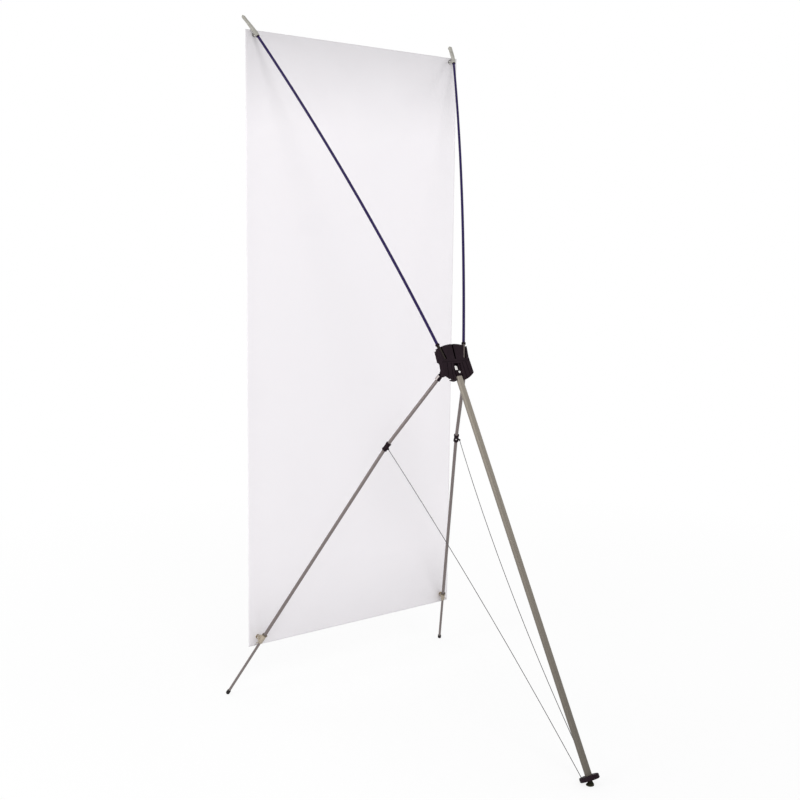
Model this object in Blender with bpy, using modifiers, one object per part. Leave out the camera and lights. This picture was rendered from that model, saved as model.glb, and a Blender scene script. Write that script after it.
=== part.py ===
"""Tripod banner stand: a light portable stand that stretches a banner between two
sprung upper rods and two telescoping front legs, with one rear leg behind.

Metres, +Z up, the banner faces -Y. The left side is +X. Depths are measured backwards
from the banner's plane, so a point is written as (x, depth behind the banner, height).
"""

import math

import bmesh
import bpy
from mathutils import Matrix, Vector

# Banner
BANNER_WIDTH = 0.790
BANNER_HEIGHT = 1.800
BANNER_BOTTOM = 0.163
BANNER_THICKNESS = 0.0004
BANNER_Y = -0.4808
EYELET_TOP_INSET = (0.0290, 0.0130)
EYELET_BOTTOM_INSET = (0.0310, 0.0265)
EYELET_BORE = 0.0040
EYELET_BARREL = 0.0045
EYELET_RIM = 0.0065
EYELET_RIM_THICKNESS = 0.0005

# Main points as (x, depth, height)
ROD_BASE = (0.0475, 0.4472, 1.0877)
ROD_JUNCTION = (0.3667, 0.0195, 1.945)
ROD_TIP_END = (0.3872, -0.0245, 2.0010)
FRONT_PIVOT = (0.0410, 0.462, 1.015)
FRONT_BEND = (0.1332, 0.3266, 0.7957)
FRONT_FOOT = (0.4280, -0.0740, 0.0)
REAR_PIVOT = (0.0, 0.4775, 1.013)
REAR_FOOT = (0.0, 1.0236, 0.0)
HUB_CENTRE = (0.0, 0.462, 1.050)

# Hub, in its own frame: x across, y backwards, z up along the tilted hub
HUB_TILT = math.radians(21.8)
HUB_TOP = 0.044
HUB_SHOULDER = (0.053, 0.0345)
HUB_WAIST = (0.0505, 0.004)
HUB_SKIRT = (0.056, -0.043)
HUB_BOTTOM = -0.064
COVER_FACE = 0.006
COVER_SPLIT = -0.008
COVER_WALL = 0.0025
FRONT_COVER_FACE = -0.0165
FRONT_COVER_BOTTOM = -0.010
WING_X = 0.0515
WING_LOW = -0.0030
WING_HIGH = 0.0300
PLEATS = ((0.0200, 5.0), (0.0330, 9.0))
SLOT_HALF_WIDTH = 0.0135
WINDOW_TOP = -0.0125
POCKET_HALF_WIDTH = 0.0500
POCKET_BOTTOM = -0.0580
SPIDER_TOP = -0.0105
SPIDER_FACE = -0.022
SPIDER_BACK = 0.0030
SCREW_PLACES = ((0.030, 0.020), (0.024, -0.0235))
SCREW_HEAD = 0.0035
SCREW_SHANK = 0.0016

# Forks, knuckles and pins
FORK_RADIUS = 0.0078
FORK_HALF_WIDTH = 0.0078
FORK_THROAT = 0.0092
EYE_RADIUS = 0.0066
EYE_HALF_WIDTH = 0.0046
PIN_RADIUS = 0.0019
PIN_HEAD = 0.0034
SOCKET_RADIUS = 0.0070
SOCKET_START = 0.0090
SOCKET_END = 0.0260
REAR_EYE_RADIUS = 0.0090
REAR_EYE_HALF_WIDTH = 0.0078
REAR_EAR = (0.0083, 0.0120)
REAR_PIN_RADIUS = 0.0025
REAR_PIN_HEAD = 0.0045
TONGUE_WIDTH = 0.013
TONGUE_THICKNESS = 0.0020
TONGUE_LENGTH = 0.0218
REAR_RIVET_HEAD = 0.0041
REAR_RIVET_SHANK = 0.0014

# Tubes and rods
OUTER_TUBE = 0.0050
OUTER_WALL = 0.0007
INNER_TUBE = 0.0040
INNER_WALL = 0.0006
INNER_OVERLAP = 0.250
REAR_TUBE_HALF = (0.0105, 0.0060)
REAR_TUBE_WALL = 0.0012
REAR_TUBE_START = 0.0108
ROD_RADIUS = 0.0037
ROD_TIP_RADIUS = 0.0032
FERRULE_RADIUS = 0.0044
FERRULE_LENGTH = 0.0410
COLLAR_RADIUS = 0.0062
BEND_LENGTH = 0.040
STAY_RADIUS = 0.0011
STAY_BOW = (-0.019, -0.006, -0.003)

# Fittings
CLIP_RADIUS = 0.0078
CLIP_HALF_LENGTH = 0.0130
CLIP_POST = 0.0130
CLIP_POST_LEAN = (0.24, 0.89, -0.39)
CLIP_KNOB = 0.0031
HOOK_RADIUS = 0.0070
HOOK_UP = 0.0195
HOOK_DOWN = 0.0085
HOOK_STEP = 0.0065
HOOK_RING = 0.0083
HOOK_RING_LENGTH = 0.0036
TIP_CURL = 0.0036
PEG_RADIUS = 0.0020
PEG_HEAD = 0.0031
PEG_CLEAR = 0.0032
FOOT_CAP_RADIUS = 0.0060
FOOT_CAP_SINK = 0.0010
FOOT_CAP_LENGTH = 0.015
FLANGE_RADIUS = 0.0262
FLANGE_HALF = 0.0062
FLANGE_UP = 0.0208
REAR_TIP_RADIUS = (0.0108, 0.0100)
ANCHOR = (0.0155, -0.0120)
ANCHOR_HOLE = 0.0016

# Gap between pieces that touch
GAP = 0.0003

SIDES = (("left", 1.0), ("right", -1.0))


def at(point, side=1.0):
    """World place of a (x, depth, height) point on the given side."""
    return Vector((point[0] * side, BANNER_Y + point[1], point[2]))


def frame(origin, z_direction, x_hint):
    """Matrix whose local Z runs along z_direction and whose X leans to x_hint."""
    z_axis = z_direction.normalized()
    x_axis = (x_hint - x_hint.dot(z_axis) * z_axis).normalized()
    y_axis = z_axis.cross(x_axis)
    matrix = Matrix.Identity(4)
    for row in range(3):
        matrix[row][0] = x_axis[row]
        matrix[row][1] = y_axis[row]
        matrix[row][2] = z_axis[row]
        matrix[row][3] = origin[row]
    return matrix


# Lays an XY plate into the YZ plane with its thickness along X
CROSSWISE = frame((0.0, 0.0, 0.0), Vector((1.0, 0.0, 0.0)), Vector((0.0, 1.0, 0.0)))


def turn(axis, degrees, place=(0.0, 0.0, 0.0)):
    """Matrix that turns by degrees about an axis letter and then moves to place."""
    return Matrix.Translation(place) @ Matrix.Rotation(math.radians(degrees), 4, axis)


def clear_scene():
    """Remove every object of the open scene."""
    for obj in list(bpy.data.objects):
        bpy.data.objects.remove(obj, do_unlink=True)


def new_collection(name):
    """Collection linked under the scene."""
    collection = bpy.data.collections.new(name)
    bpy.context.scene.collection.children.link(collection)
    return collection


def finish(name, colour, roughness, metallic=0.0):
    """Principled material."""
    material = bpy.data.materials.new(name)
    material.use_nodes = True
    shader = material.node_tree.nodes["Principled BSDF"]
    shader.inputs["Base Color"].default_value = (*colour, 1.0)
    shader.inputs["Roughness"].default_value = roughness
    shader.inputs["Metallic"].default_value = metallic
    return material


clear_scene()
PARTS = new_collection("tripod_banner_stand")
CUTTERS = new_collection("cutters")

BLACK_PLASTIC = finish("black moulded plastic", (0.020, 0.016, 0.020), 0.45)
TUBE_METAL = finish("champagne anodised tube", (0.36, 0.32, 0.28), 0.38, 0.8)
STEEL = finish("plated steel", (0.55, 0.54, 0.52), 0.30, 1.0)
ROD_RESIN = finish("navy fibreglass", (0.030, 0.022, 0.095), 0.28)
GREY_PLASTIC = finish("warm grey plastic", (0.38, 0.37, 0.33), 0.5)
BEIGE_PLASTIC = finish("beige plastic", (0.42, 0.36, 0.28), 0.5)
RUBBER = finish("dark rubber", (0.028, 0.026, 0.018), 0.7)
BRASS = finish("brass", (0.62, 0.42, 0.16), 0.3, 1.0)
SHEET = finish("white banner sheet", (0.86, 0.85, 0.87), 0.6)
CORD = finish("grey cord", (0.26, 0.25, 0.25), 0.6)


def empty(name, matrix, parent=None):
    """Axis empty that carries a group of pieces."""
    obj = bpy.data.objects.new(name, None)
    PARTS.objects.link(obj)
    obj.empty_display_size = 0.03
    obj.parent = parent
    obj.matrix_local = matrix
    return obj


def place(name, data, material, parent, matrix, helper=False):
    """Object with its data, finish, parent and local matrix."""
    obj = bpy.data.objects.new(name, data)
    if helper:
        CUTTERS.objects.link(obj)
        obj.hide_render = True
        obj.display_type = "WIRE"
    else:
        PARTS.objects.link(obj)
        data.materials.append(material)
    obj.parent = parent
    obj.matrix_local = matrix
    return obj


def mesh_from(name, bm):
    """Smooth shaded mesh with sharp corners kept, from a bmesh."""
    mesh = bpy.data.meshes.new(name)
    bm.to_mesh(mesh)
    bm.free()
    mesh.shade_smooth()
    mesh.set_sharp_from_angle(angle=math.radians(35))
    return mesh


def cylinder(name, radius, low, high, segments=24, end_radius=None):
    """Cylinder or cone mesh along Z from low to high."""
    bm = bmesh.new()
    top = radius if end_radius is None else end_radius
    middle = Matrix.Translation((0.0, 0.0, (low + high) / 2))
    bmesh.ops.create_cone(bm, cap_ends=True, segments=segments, radius1=radius,
                          radius2=top, depth=high - low, matrix=middle)
    return mesh_from(name, bm)


def ball(name, radius, centre):
    """Sphere mesh."""
    bm = bmesh.new()
    bmesh.ops.create_uvsphere(bm, u_segments=16, v_segments=10, radius=radius,
                              matrix=Matrix.Translation(centre))
    return mesh_from(name, bm)


def block(name, low, high):
    """Box mesh between two corners."""
    bm = bmesh.new()
    size = [b - a for a, b in zip(low, high)]
    centre = [(a + b) / 2 for a, b in zip(low, high)]
    bmesh.ops.create_cube(bm, size=1.0, matrix=Matrix.Translation(centre) @ Matrix.Diagonal((*size, 1.0)))
    return mesh_from(name, bm)


def welded(curve_object, name):
    """Mesh of a curve object's evaluated shape with its loose caps welded on."""
    graph = bpy.context.evaluated_depsgraph_get()
    mesh = bpy.data.meshes.new_from_object(curve_object.evaluated_get(graph))
    mesh.name = name
    bm = bmesh.new()
    bm.from_mesh(mesh)
    bmesh.ops.remove_doubles(bm, verts=bm.verts, dist=0.00002)
    bmesh.ops.recalc_face_normals(bm, faces=bm.faces)
    bm.to_mesh(mesh)
    bm.free()
    mesh.shade_smooth()
    mesh.set_sharp_from_angle(angle=math.radians(35))
    mesh.materials.clear()
    curve = curve_object.data
    bpy.data.objects.remove(curve_object, do_unlink=True)
    bpy.data.curves.remove(curve)
    return mesh


def plate(name, outlines, half_thickness):
    """Flat plate in the XY plane from closed outlines; inner outlines are holes."""
    curve = bpy.data.curves.new(name, "CURVE")
    curve.dimensions = "2D"
    curve.fill_mode = "BOTH"
    curve.extrude = half_thickness
    for outline in outlines:
        spline = curve.splines.new("POLY")
        spline.points.add(len(outline) - 1)
        for point, (x, y) in zip(spline.points, outline):
            point.co = (x, y, 0.0, 1.0)
        spline.use_cyclic_u = True
    obj = bpy.data.objects.new(name, curve)
    CUTTERS.objects.link(obj)
    return welded(obj, name)


def tube_curve(name, points, radius, resolution, radii=None, capped=True):
    """Curve that runs a round section along points, given as vectors."""
    curve = bpy.data.curves.new(name, "CURVE")
    curve.dimensions = "3D"
    curve.fill_mode = "FULL"
    curve.bevel_depth = radius
    curve.bevel_resolution = resolution
    curve.use_fill_caps = capped
    spline = curve.splines.new("POLY")
    spline.points.add(len(points) - 1)
    for index, (point, place_of) in enumerate(zip(spline.points, points)):
        point.co = (*place_of, 1.0)
        point.radius = 1.0 if radii is None else radii[index] / radius
    spline.use_smooth = True
    return curve


def tube_mesh(name, points, radius, resolution, radii=None, capped=True):
    """Mesh of a round section along points."""
    curve = tube_curve(name, points, radius, resolution, radii, capped)
    obj = bpy.data.objects.new(name, curve)
    CUTTERS.objects.link(obj)
    return welded(obj, name)


def turned(name, profile, material, parent, matrix, ring=False, steps=24):
    """Turned piece: (radius, height) profile down its outer side, spun about Z."""
    mesh = bpy.data.meshes.new(name)
    vertices = [(radius, 0.0, height) for radius, height in profile]
    edges = [(i, i + 1) for i in range(len(profile) - 1)]
    if ring:
        edges.append((len(profile) - 1, 0))
    mesh.from_pydata(vertices, edges, [])
    obj = place(name, mesh, material, parent, matrix)
    screw = obj.modifiers.new("turn", "SCREW")
    screw.steps = steps
    screw.render_steps = steps
    screw.use_merge_vertices = True
    screw.merge_threshold = 0.00001
    return obj


def boolean(obj, operation, mesh, matrix=None, parent=None):
    """Join or cut obj with a helper mesh placed in obj's parent frame."""
    helper = place(f"{obj.name}_{operation.lower()}_{len(obj.modifiers)}", mesh, None,
                   obj.parent if parent is None else parent,
                   Matrix.Identity(4) if matrix is None else matrix, helper=True)
    modifier = obj.modifiers.new(operation.lower(), "BOOLEAN")
    modifier.operation = operation
    modifier.solver = "EXACT"
    modifier.object = helper
    return modifier


def bevel(obj, width, segments=2):
    """Rounded edges on every sharp corner."""
    modifier = obj.modifiers.new("round", "BEVEL")
    modifier.width = width
    modifier.segments = segments
    modifier.limit_method = "ANGLE"
    modifier.angle_limit = math.radians(40)
    modifier.use_clamp_overlap = True
    return modifier


def arc_rise(start, end, rise, count):
    """Points from start to end along an arc that bulges by rise to the left."""
    start_v = Vector(start)
    end_v = Vector(end)
    chord = end_v - start_v
    half = chord.length / 2
    radius = (half * half + rise * rise) / (2 * abs(rise))
    normal = Vector((-chord.y, chord.x)).normalized() * math.copysign(1.0, rise)
    centre = (start_v + end_v) / 2 + normal * (abs(rise) - radius)
    span = math.asin(half / radius)
    points = []
    for index in range(count + 1):
        angle = span * (2 * index / count - 1)
        along = chord.normalized() * math.sin(angle) * radius
        points.append(tuple(centre + along + normal * math.cos(angle) * radius))
    return points


def circle(centre, radius, count=20):
    """Closed round outline."""
    step = math.tau / count
    return [(centre[0] + radius * math.cos(i * step), centre[1] + radius * math.sin(i * step))
            for i in range(count)]


def half_round(radius, start, end, count=14):
    """Open arc about the origin between two angles."""
    return [(radius * math.cos(start + (end - start) * i / count),
             radius * math.sin(start + (end - start) * i / count)) for i in range(count + 1)]


def stadium(half_width, half_depth, count=8):
    """Closed flat-oval outline, long side along the first axis."""
    straight = half_width - half_depth
    points = []
    for centre, start in ((straight, -math.pi / 2), (-straight, math.pi / 2)):
        for index in range(count + 1):
            angle = start + math.pi * index / count
            points.append((centre + half_depth * math.cos(angle), half_depth * math.sin(angle)))
    return points


def bezier(start, control, end, count):
    """Points of a quadratic curve, both ends included."""
    points = []
    for index in range(count + 1):
        t = index / count
        points.append(start * (1 - t) ** 2 + control * (2 * t * (1 - t)) + end * t ** 2)
    return points


def hub_matrix():
    """Frame of the tilted hub."""
    return Matrix.Translation(at(HUB_CENTRE)) @ Matrix.Rotation(HUB_TILT, 4, "X")


def fan_outline():
    """Outline of the rear cover: arched top, drawn-in waist and a round skirt."""
    top = arc_rise((HUB_SHOULDER[0], HUB_SHOULDER[1]), (-HUB_SHOULDER[0], HUB_SHOULDER[1]),
                   -(HUB_TOP - HUB_SHOULDER[1]), 12)
    bottom = arc_rise((-HUB_SKIRT[0], HUB_SKIRT[1]), (HUB_SKIRT[0], HUB_SKIRT[1]),
                      -(HUB_SKIRT[1] - HUB_BOTTOM), 16)
    return top + [(-HUB_WAIST[0], HUB_WAIST[1])] + bottom + [(HUB_WAIST[0], HUB_WAIST[1])]


def upright(y_middle):
    """Matrix that stands an XY plate up in the hub's XZ plane at a given y."""
    return turn("X", 90.0, (0.0, y_middle, 0.0))


def rod_frame(side):
    """Frame of a rod socket: Z runs up along the rod, X lies in the hub's plane."""
    hub = hub_matrix().to_3x3()
    base = at(ROD_BASE, side)
    lean = math.atan2(ROD_JUNCTION[0] - ROD_BASE[0], 0.99)
    direction = hub @ Vector((side * math.sin(lean), 0.0, math.cos(lean)))
    return frame(base, direction, hub @ Vector((1.0, 0.0, 0.0)))


def build_rear_cover(hub):
    """Rear shell with two rod channels, a middle groove and the rear leg's slot."""
    depth = COVER_FACE - COVER_SPLIT
    middle = (COVER_FACE + COVER_SPLIT) / 2
    cover = place("hub_rear_cover", plate("hub_rear_cover", [fan_outline()], depth / 2),
                  BLACK_PLASTIC, hub, upright(middle))
    bevel(cover, 0.0016)
    for _, side in SIDES:
        to_hub = hub_matrix().inverted() @ rod_frame(side)
        channel_foot = -FERRULE_LENGTH - GAP
        boolean(cover, "DIFFERENCE",
                cylinder("rod_channel", FERRULE_RADIUS + GAP, channel_foot, 0.03), to_hub)
        opening = block("rod_channel_mouth", (-FERRULE_RADIUS - GAP, 0.0, channel_foot),
                        (FERRULE_RADIUS + GAP, 0.03, 0.03))
        boolean(cover, "DIFFERENCE", opening, to_hub)
    boolean(cover, "DIFFERENCE", block("middle_groove", (-0.0025, 0.0015, 0.0), (0.0025, 0.03, 0.08)))
    boolean(cover, "DIFFERENCE",
            block("pocket", (-POCKET_HALF_WIDTH, COVER_SPLIT - 0.01, POCKET_BOTTOM),
                  (POCKET_HALF_WIDTH, COVER_FACE - COVER_WALL, FRONT_COVER_BOTTOM)))
    skirt_low = HUB_BOTTOM - 0.02
    boolean(cover, "INTERSECT", plate("skirt_limit", [fan_outline()], 0.03), upright(middle))
    boolean(cover, "DIFFERENCE",
            block("leg_slot", (-SLOT_HALF_WIDTH, -0.03, skirt_low), (SLOT_HALF_WIDTH, 0.03, WINDOW_TOP)))
    skirt_line = block("skirt_line", (-0.08, COVER_FACE - 0.0006, -0.0076), (0.08, 0.03, -0.0058))
    boolean(cover, "DIFFERENCE", skirt_line)
    for _, side in SIDES:
        for x, lean in PLEATS:
            pleat = block("pleat", (-0.0017, COVER_FACE - 0.0008, skirt_low), (0.0017, 0.03, -0.0098))
            boolean(cover, "DIFFERENCE", pleat, turn("Y", -side * lean, (side * x, 0.0, 0.0)))
    return cover


def front_cover_outline():
    """Outline of the front cover: arched top and a wing at each side."""
    top_z = HUB_TOP - 0.0065
    shoulder = (0.048, top_z - 0.0085)
    top = arc_rise(shoulder, (-shoulder[0], shoulder[1]), -(top_z - shoulder[1]), 10)
    left = [(-WING_X, WING_HIGH), (-WING_X, WING_LOW), (-0.047, WING_LOW - 0.0015),
            (-0.044, FRONT_COVER_BOTTOM)]
    right = [(-x, z) for x, z in reversed(left)]
    return top + left + right


def build_front_cover(hub):
    """Front shell with its recessed panel and two screw seats."""
    back = COVER_SPLIT - GAP
    middle = (back + FRONT_COVER_FACE) / 2
    cover = place("hub_front_cover",
                  plate("hub_front_cover", [front_cover_outline()], (back - FRONT_COVER_FACE) / 2),
                  BLACK_PLASTIC, hub, upright(middle))
    bevel(cover, 0.0016)
    panel = block("panel", (-0.020, FRONT_COVER_FACE - 0.01, FRONT_COVER_BOTTOM + 0.0062),
                  (0.020, FRONT_COVER_FACE + 0.0015, HUB_TOP - 0.0172))
    boolean(cover, "DIFFERENCE", panel)
    for _, side in SIDES:
        seat = cylinder("screw_seat", SCREW_SHANK + GAP, -0.006, 0.01, 16)
        x, z = SCREW_PLACES[0]
        boolean(cover, "DIFFERENCE", seat, turn("X", 90.0, (side * x, FRONT_COVER_FACE, z)))
    return cover


def fork_frame(side):
    """Frame of a front fork: X on the hinge axis, Y outwards, Z up."""
    outward = at(FRONT_BEND, side) - at(FRONT_PIVOT, side)
    outward.z = 0.0
    hinge = Vector((outward.y, -outward.x, 0.0)).normalized()
    return frame(at(FRONT_PIVOT, side), Vector((0.0, 0.0, 1.0)), hinge)


def build_spider(hub):
    """Leg carrier: a core with two angled front forks and the rear fork."""
    core = block("hub_spider", (-0.0300, SPIDER_FACE, -0.036), (0.0300, SPIDER_BACK, SPIDER_TOP))
    spider = place("hub_spider", core, BLACK_PLASTIC, hub, Matrix.Identity(4))
    bevel(spider, 0.0012, 1)
    lower = block("spider_lower", (-0.019, SPIDER_FACE + 0.001, -0.0505),
                  (0.019, SPIDER_BACK - 0.001, -0.030))
    boolean(spider, "UNION", lower)
    to_hub = hub_matrix().inverted()
    for _, side in SIDES:
        ears = half_round(FORK_RADIUS, -math.pi / 2, math.pi / 2, 11)
        ears += [(-0.0165, 0.0069), (-0.0165, -0.0062)]
        boolean(spider, "UNION", plate("fork_ears", [ears], FORK_HALF_WIDTH),
                to_hub @ fork_frame(side) @ CROSSWISE)
    boolean(spider, "DIFFERENCE", block("back_limit", (-0.06, SPIDER_BACK, -0.07), (0.06, 0.03, 0.01)))
    ear_in, ear_out = REAR_EAR
    pivot = to_hub @ at(REAR_PIVOT)
    ears = cylinder("rear_ears", FORK_RADIUS, -ear_out, ear_out, 24)
    boolean(spider, "UNION", ears, turn("Y", 90.0, pivot))
    for _, side in SIDES:
        fork = to_hub @ fork_frame(side)
        throat = half_round(FORK_THROAT, 0.35, math.pi, 11)
        throat += [(-FORK_THROAT, -0.03), (0.03, -0.03), (0.03, FORK_THROAT * 0.343)]
        boolean(spider, "DIFFERENCE", plate("throat", [throat], EYE_HALF_WIDTH + GAP), fork @ CROSSWISE)
        hole = cylinder("fork_hole", PIN_RADIUS + GAP, -0.0093, 0.0093, 18)
        boolean(spider, "DIFFERENCE", hole, fork @ turn("Y", 90.0))
    throat_top = pivot.z + REAR_EYE_RADIUS + 0.0006
    rear_throat = block("rear_throat", (-ear_in, -0.05, -0.09), (ear_in, 0.03, throat_top))
    boolean(spider, "DIFFERENCE", rear_throat)
    leg_room = block("rear_leg_room", (-REAR_TUBE_HALF[0] - 0.0008, -0.05, -0.09),
                     (REAR_TUBE_HALF[0] + 0.0008, 0.03, pivot.z - FORK_RADIUS - 0.0002))
    boolean(spider, "DIFFERENCE", leg_room)
    fold_room = half_round(FORK_RADIUS + 0.0003, -math.pi / 2, -math.pi + 0.45)
    fold_room += [(-0.05, -0.0035), (-0.05, -0.05), (0.0, -0.05)]
    boolean(spider, "DIFFERENCE", plate("fold_room", [fold_room], REAR_TUBE_HALF[0] + 0.0008),
            Matrix.Translation(pivot) @ CROSSWISE)
    tongue_room = block("tongue_room", (-TONGUE_WIDTH / 2 - 0.0008, -0.0046, -0.045),
                        (TONGUE_WIDTH / 2 + 0.0008, 0.03, -0.005))
    boolean(spider, "DIFFERENCE", tongue_room)
    rear_hole = cylinder("rear_hole", REAR_PIN_RADIUS + GAP, -0.0142, 0.0142, 20)
    boolean(spider, "DIFFERENCE", rear_hole, turn("Y", 90.0, pivot))
    for _, side in SIDES:
        head_room = cylinder("head_room", REAR_PIN_HEAD + 0.0006, ear_out, ear_out + 0.0022, 20)
        boolean(spider, "DIFFERENCE", head_room, turn("Y", 90.0 * side, pivot))
    for _, side in SIDES:
        x, z = SCREW_PLACES[1]
        seat = cylinder("screw_seat", SCREW_SHANK + GAP, -0.006, 0.01, 16)
        boolean(spider, "DIFFERENCE", seat, turn("X", 90.0, (side * x, SPIDER_FACE, z)))
    return spider


def build_hub_screws(hub):
    """Four pan head screws that hold the covers and the leg carrier."""
    faces = (FRONT_COVER_FACE, SPIDER_FACE)
    number = 0
    for (x, z), face in zip(SCREW_PLACES, faces):
        for _, side in SIDES:
            number += 1
            profile = [(0.0, 0.0024), (0.0020, 0.0023), (0.0032, 0.0016), (SCREW_HEAD, GAP),
                       (SCREW_SHANK, GAP), (SCREW_SHANK, -0.0050), (0.0, -0.0056)]
            turned(f"hub_screw_{number}", profile, STEEL, hub,
                   turn("X", 90.0, (side * x, face, z)), steps=16)


def pin(name, radius, head, half_length, parent, matrix):
    """Headed pin along local X, its heads just outside half_length."""
    neck = half_length + GAP
    profile = [(0.0, neck + 0.0013), (head * 0.7, neck + 0.0012), (head, neck + 0.0006), (head, neck),
               (radius, neck), (radius, -neck), (head, -neck), (head, -neck - 0.0006),
               (head * 0.7, -neck - 0.0012), (0.0, -neck - 0.0013)]
    return turned(name, profile, STEEL, parent, matrix @ turn("Y", 90.0), steps=14)


def front_leg_frames(side):
    """Frames of the leg above the bend, at the clip and below the bend."""
    pivot = at(FRONT_PIVOT, side)
    bend_point = at(FRONT_BEND, side)
    foot = at(FRONT_FOOT, side)
    hinge = fork_frame(side).to_3x3() @ Vector((1.0, 0.0, 0.0))
    upper = frame(pivot, bend_point - pivot, hinge)
    lower = frame(bend_point, foot - bend_point, hinge)
    start = bend_point - upper.to_3x3() @ Vector((0.0, 0.0, BEND_LENGTH))
    end = bend_point + lower.to_3x3() @ Vector((0.0, 0.0, BEND_LENGTH))
    curve_middle = (start + bend_point * 2 + end) / 4
    clip = frame(curve_middle, end - start, hinge)
    return upper, clip, lower


def eyelet_points():
    """Banner eyelets as name and (x, depth, height) for the left side."""
    half = BANNER_WIDTH / 2
    top = (half - EYELET_TOP_INSET[0], 0.0, BANNER_BOTTOM + BANNER_HEIGHT - EYELET_TOP_INSET[1])
    bottom = (half - EYELET_BOTTOM_INSET[0], 0.0, BANNER_BOTTOM + EYELET_BOTTOM_INSET[1])
    return (("top", top), ("bottom", bottom))


def hook_frame(side):
    """Frame of a banner hook: origin on the leg, Z down it, X towards the eyelet."""
    _, _, lower = front_leg_frames(side)
    eyelet = at(dict(eyelet_points())["bottom"], side)
    axis = lower.to_3x3() @ Vector((0.0, 0.0, 1.0))
    origin = lower.translation + axis * (eyelet - lower.translation).dot(axis)
    return frame(origin, axis, eyelet - origin)


def add_peg(obj, eyelet, arm_start, to_local):
    """Join an arm and a button-headed peg through the eyelet onto obj."""
    seat = Vector((eyelet.x, BANNER_Y + PEG_CLEAR + 0.0035, eyelet.z))
    arm = seat - arm_start
    arm_matrix = to_local @ frame(arm_start, arm, Vector((0.0, 0.0, 1.0)))
    boolean(obj, "UNION", cylinder("peg_arm", 0.0040, 0.0, arm.length, 16, 0.0031), arm_matrix)
    boolean(obj, "UNION", ball("peg_elbow", 0.0035, (0.0, 0.0, 0.0)),
            to_local @ Matrix.Translation(seat))
    peg_matrix = to_local @ Matrix.Translation(eyelet) @ turn("X", 90.0)
    boolean(obj, "UNION", cylinder("peg", PEG_RADIUS, -0.0066, 0.0040, 16), peg_matrix)
    boolean(obj, "UNION", cylinder("peg_head", PEG_HEAD, 0.0029, 0.0051, 16, 0.0026), peg_matrix)


def build_front_leg(name, side):
    """Front leg: knuckle, pin, outer tube, stay clip, banner hook, inner tube and cap."""
    upper, clip, lower = front_leg_frames(side)
    axis = empty(f"front_leg_{name}_axis", upper)
    local = upper.inverted()

    knuckle = place(f"front_leg_knuckle_{name}",
                    cylinder("knuckle", SOCKET_RADIUS, SOCKET_START, SOCKET_END, 20),
                    BLACK_PLASTIC, axis, Matrix.Identity(4))
    boolean(knuckle, "UNION", cylinder("neck", EYE_HALF_WIDTH - 0.0002, 0.0, SOCKET_START + 0.001, 16))
    boolean(knuckle, "UNION", cylinder("eye", EYE_RADIUS, -EYE_HALF_WIDTH, EYE_HALF_WIDTH, 20),
            turn("Y", 90.0))
    boolean(knuckle, "UNION", cylinder("socket_lip", SOCKET_RADIUS + 0.0006, SOCKET_END - 0.004,
                                       SOCKET_END + 0.0005, 20))
    boolean(knuckle, "DIFFERENCE", cylinder("eye_hole", PIN_RADIUS + GAP, -0.02, 0.02, 16),
            turn("Y", 90.0))
    boolean(knuckle, "DIFFERENCE", cylinder("socket_bore", OUTER_TUBE + GAP, SOCKET_START + 0.003,
                                            SOCKET_END + 0.02, 20))
    pin(f"front_leg_pin_{name}", PIN_RADIUS, PIN_HEAD, FORK_HALF_WIDTH, empty(
        f"front_pin_{name}_axis", fork_frame(side)), Matrix.Identity(4))

    hook = hook_frame(side)
    hook_place = (hook.translation - lower.translation).length
    tube_top = upper @ Vector((0.0, 0.0, SOCKET_START + 0.003 + GAP))
    bend_start = upper @ Vector((0.0, 0.0, (lower.translation - upper.translation).length - BEND_LENGTH))
    bend_end = lower @ Vector((0.0, 0.0, BEND_LENGTH))
    tube_end = lower @ Vector((0.0, 0.0, hook_place - HOOK_STEP - GAP))
    route = [tube_top] + bezier(bend_start, lower.translation, bend_end, 6) + [tube_end]
    shell = tube_mesh(f"front_leg_tube_{name}", [local @ p for p in route], OUTER_TUBE, 5, capped=False)
    tube = place(f"front_leg_tube_{name}", shell, TUBE_METAL, axis, Matrix.Identity(4))
    wall = tube.modifiers.new("wall", "SOLIDIFY")
    wall.thickness = OUTER_WALL
    wall.offset = -1.0

    build_stay_clip(name, side, axis, local @ clip)
    build_banner_hook(name, side, axis, local, hook)

    slide = empty(f"front_leg_slide_{name}_axis", local @ lower, axis)
    length = (at(FRONT_FOOT, side) - lower.translation).length
    cap_top = length - FOOT_CAP_LENGTH
    top = hook_place - INNER_OVERLAP
    bottom = cap_top + 0.010
    turned(f"front_leg_inner_tube_{name}",
           [(INNER_TUBE - INNER_WALL, bottom), (INNER_TUBE, bottom), (INNER_TUBE, top),
            (INNER_TUBE - INNER_WALL, top)], TUBE_METAL, slide, Matrix.Identity(4), ring=True, steps=16)
    build_foot_cap(name, side, slide, lower, cap_top, bottom + GAP)
    return axis


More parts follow.
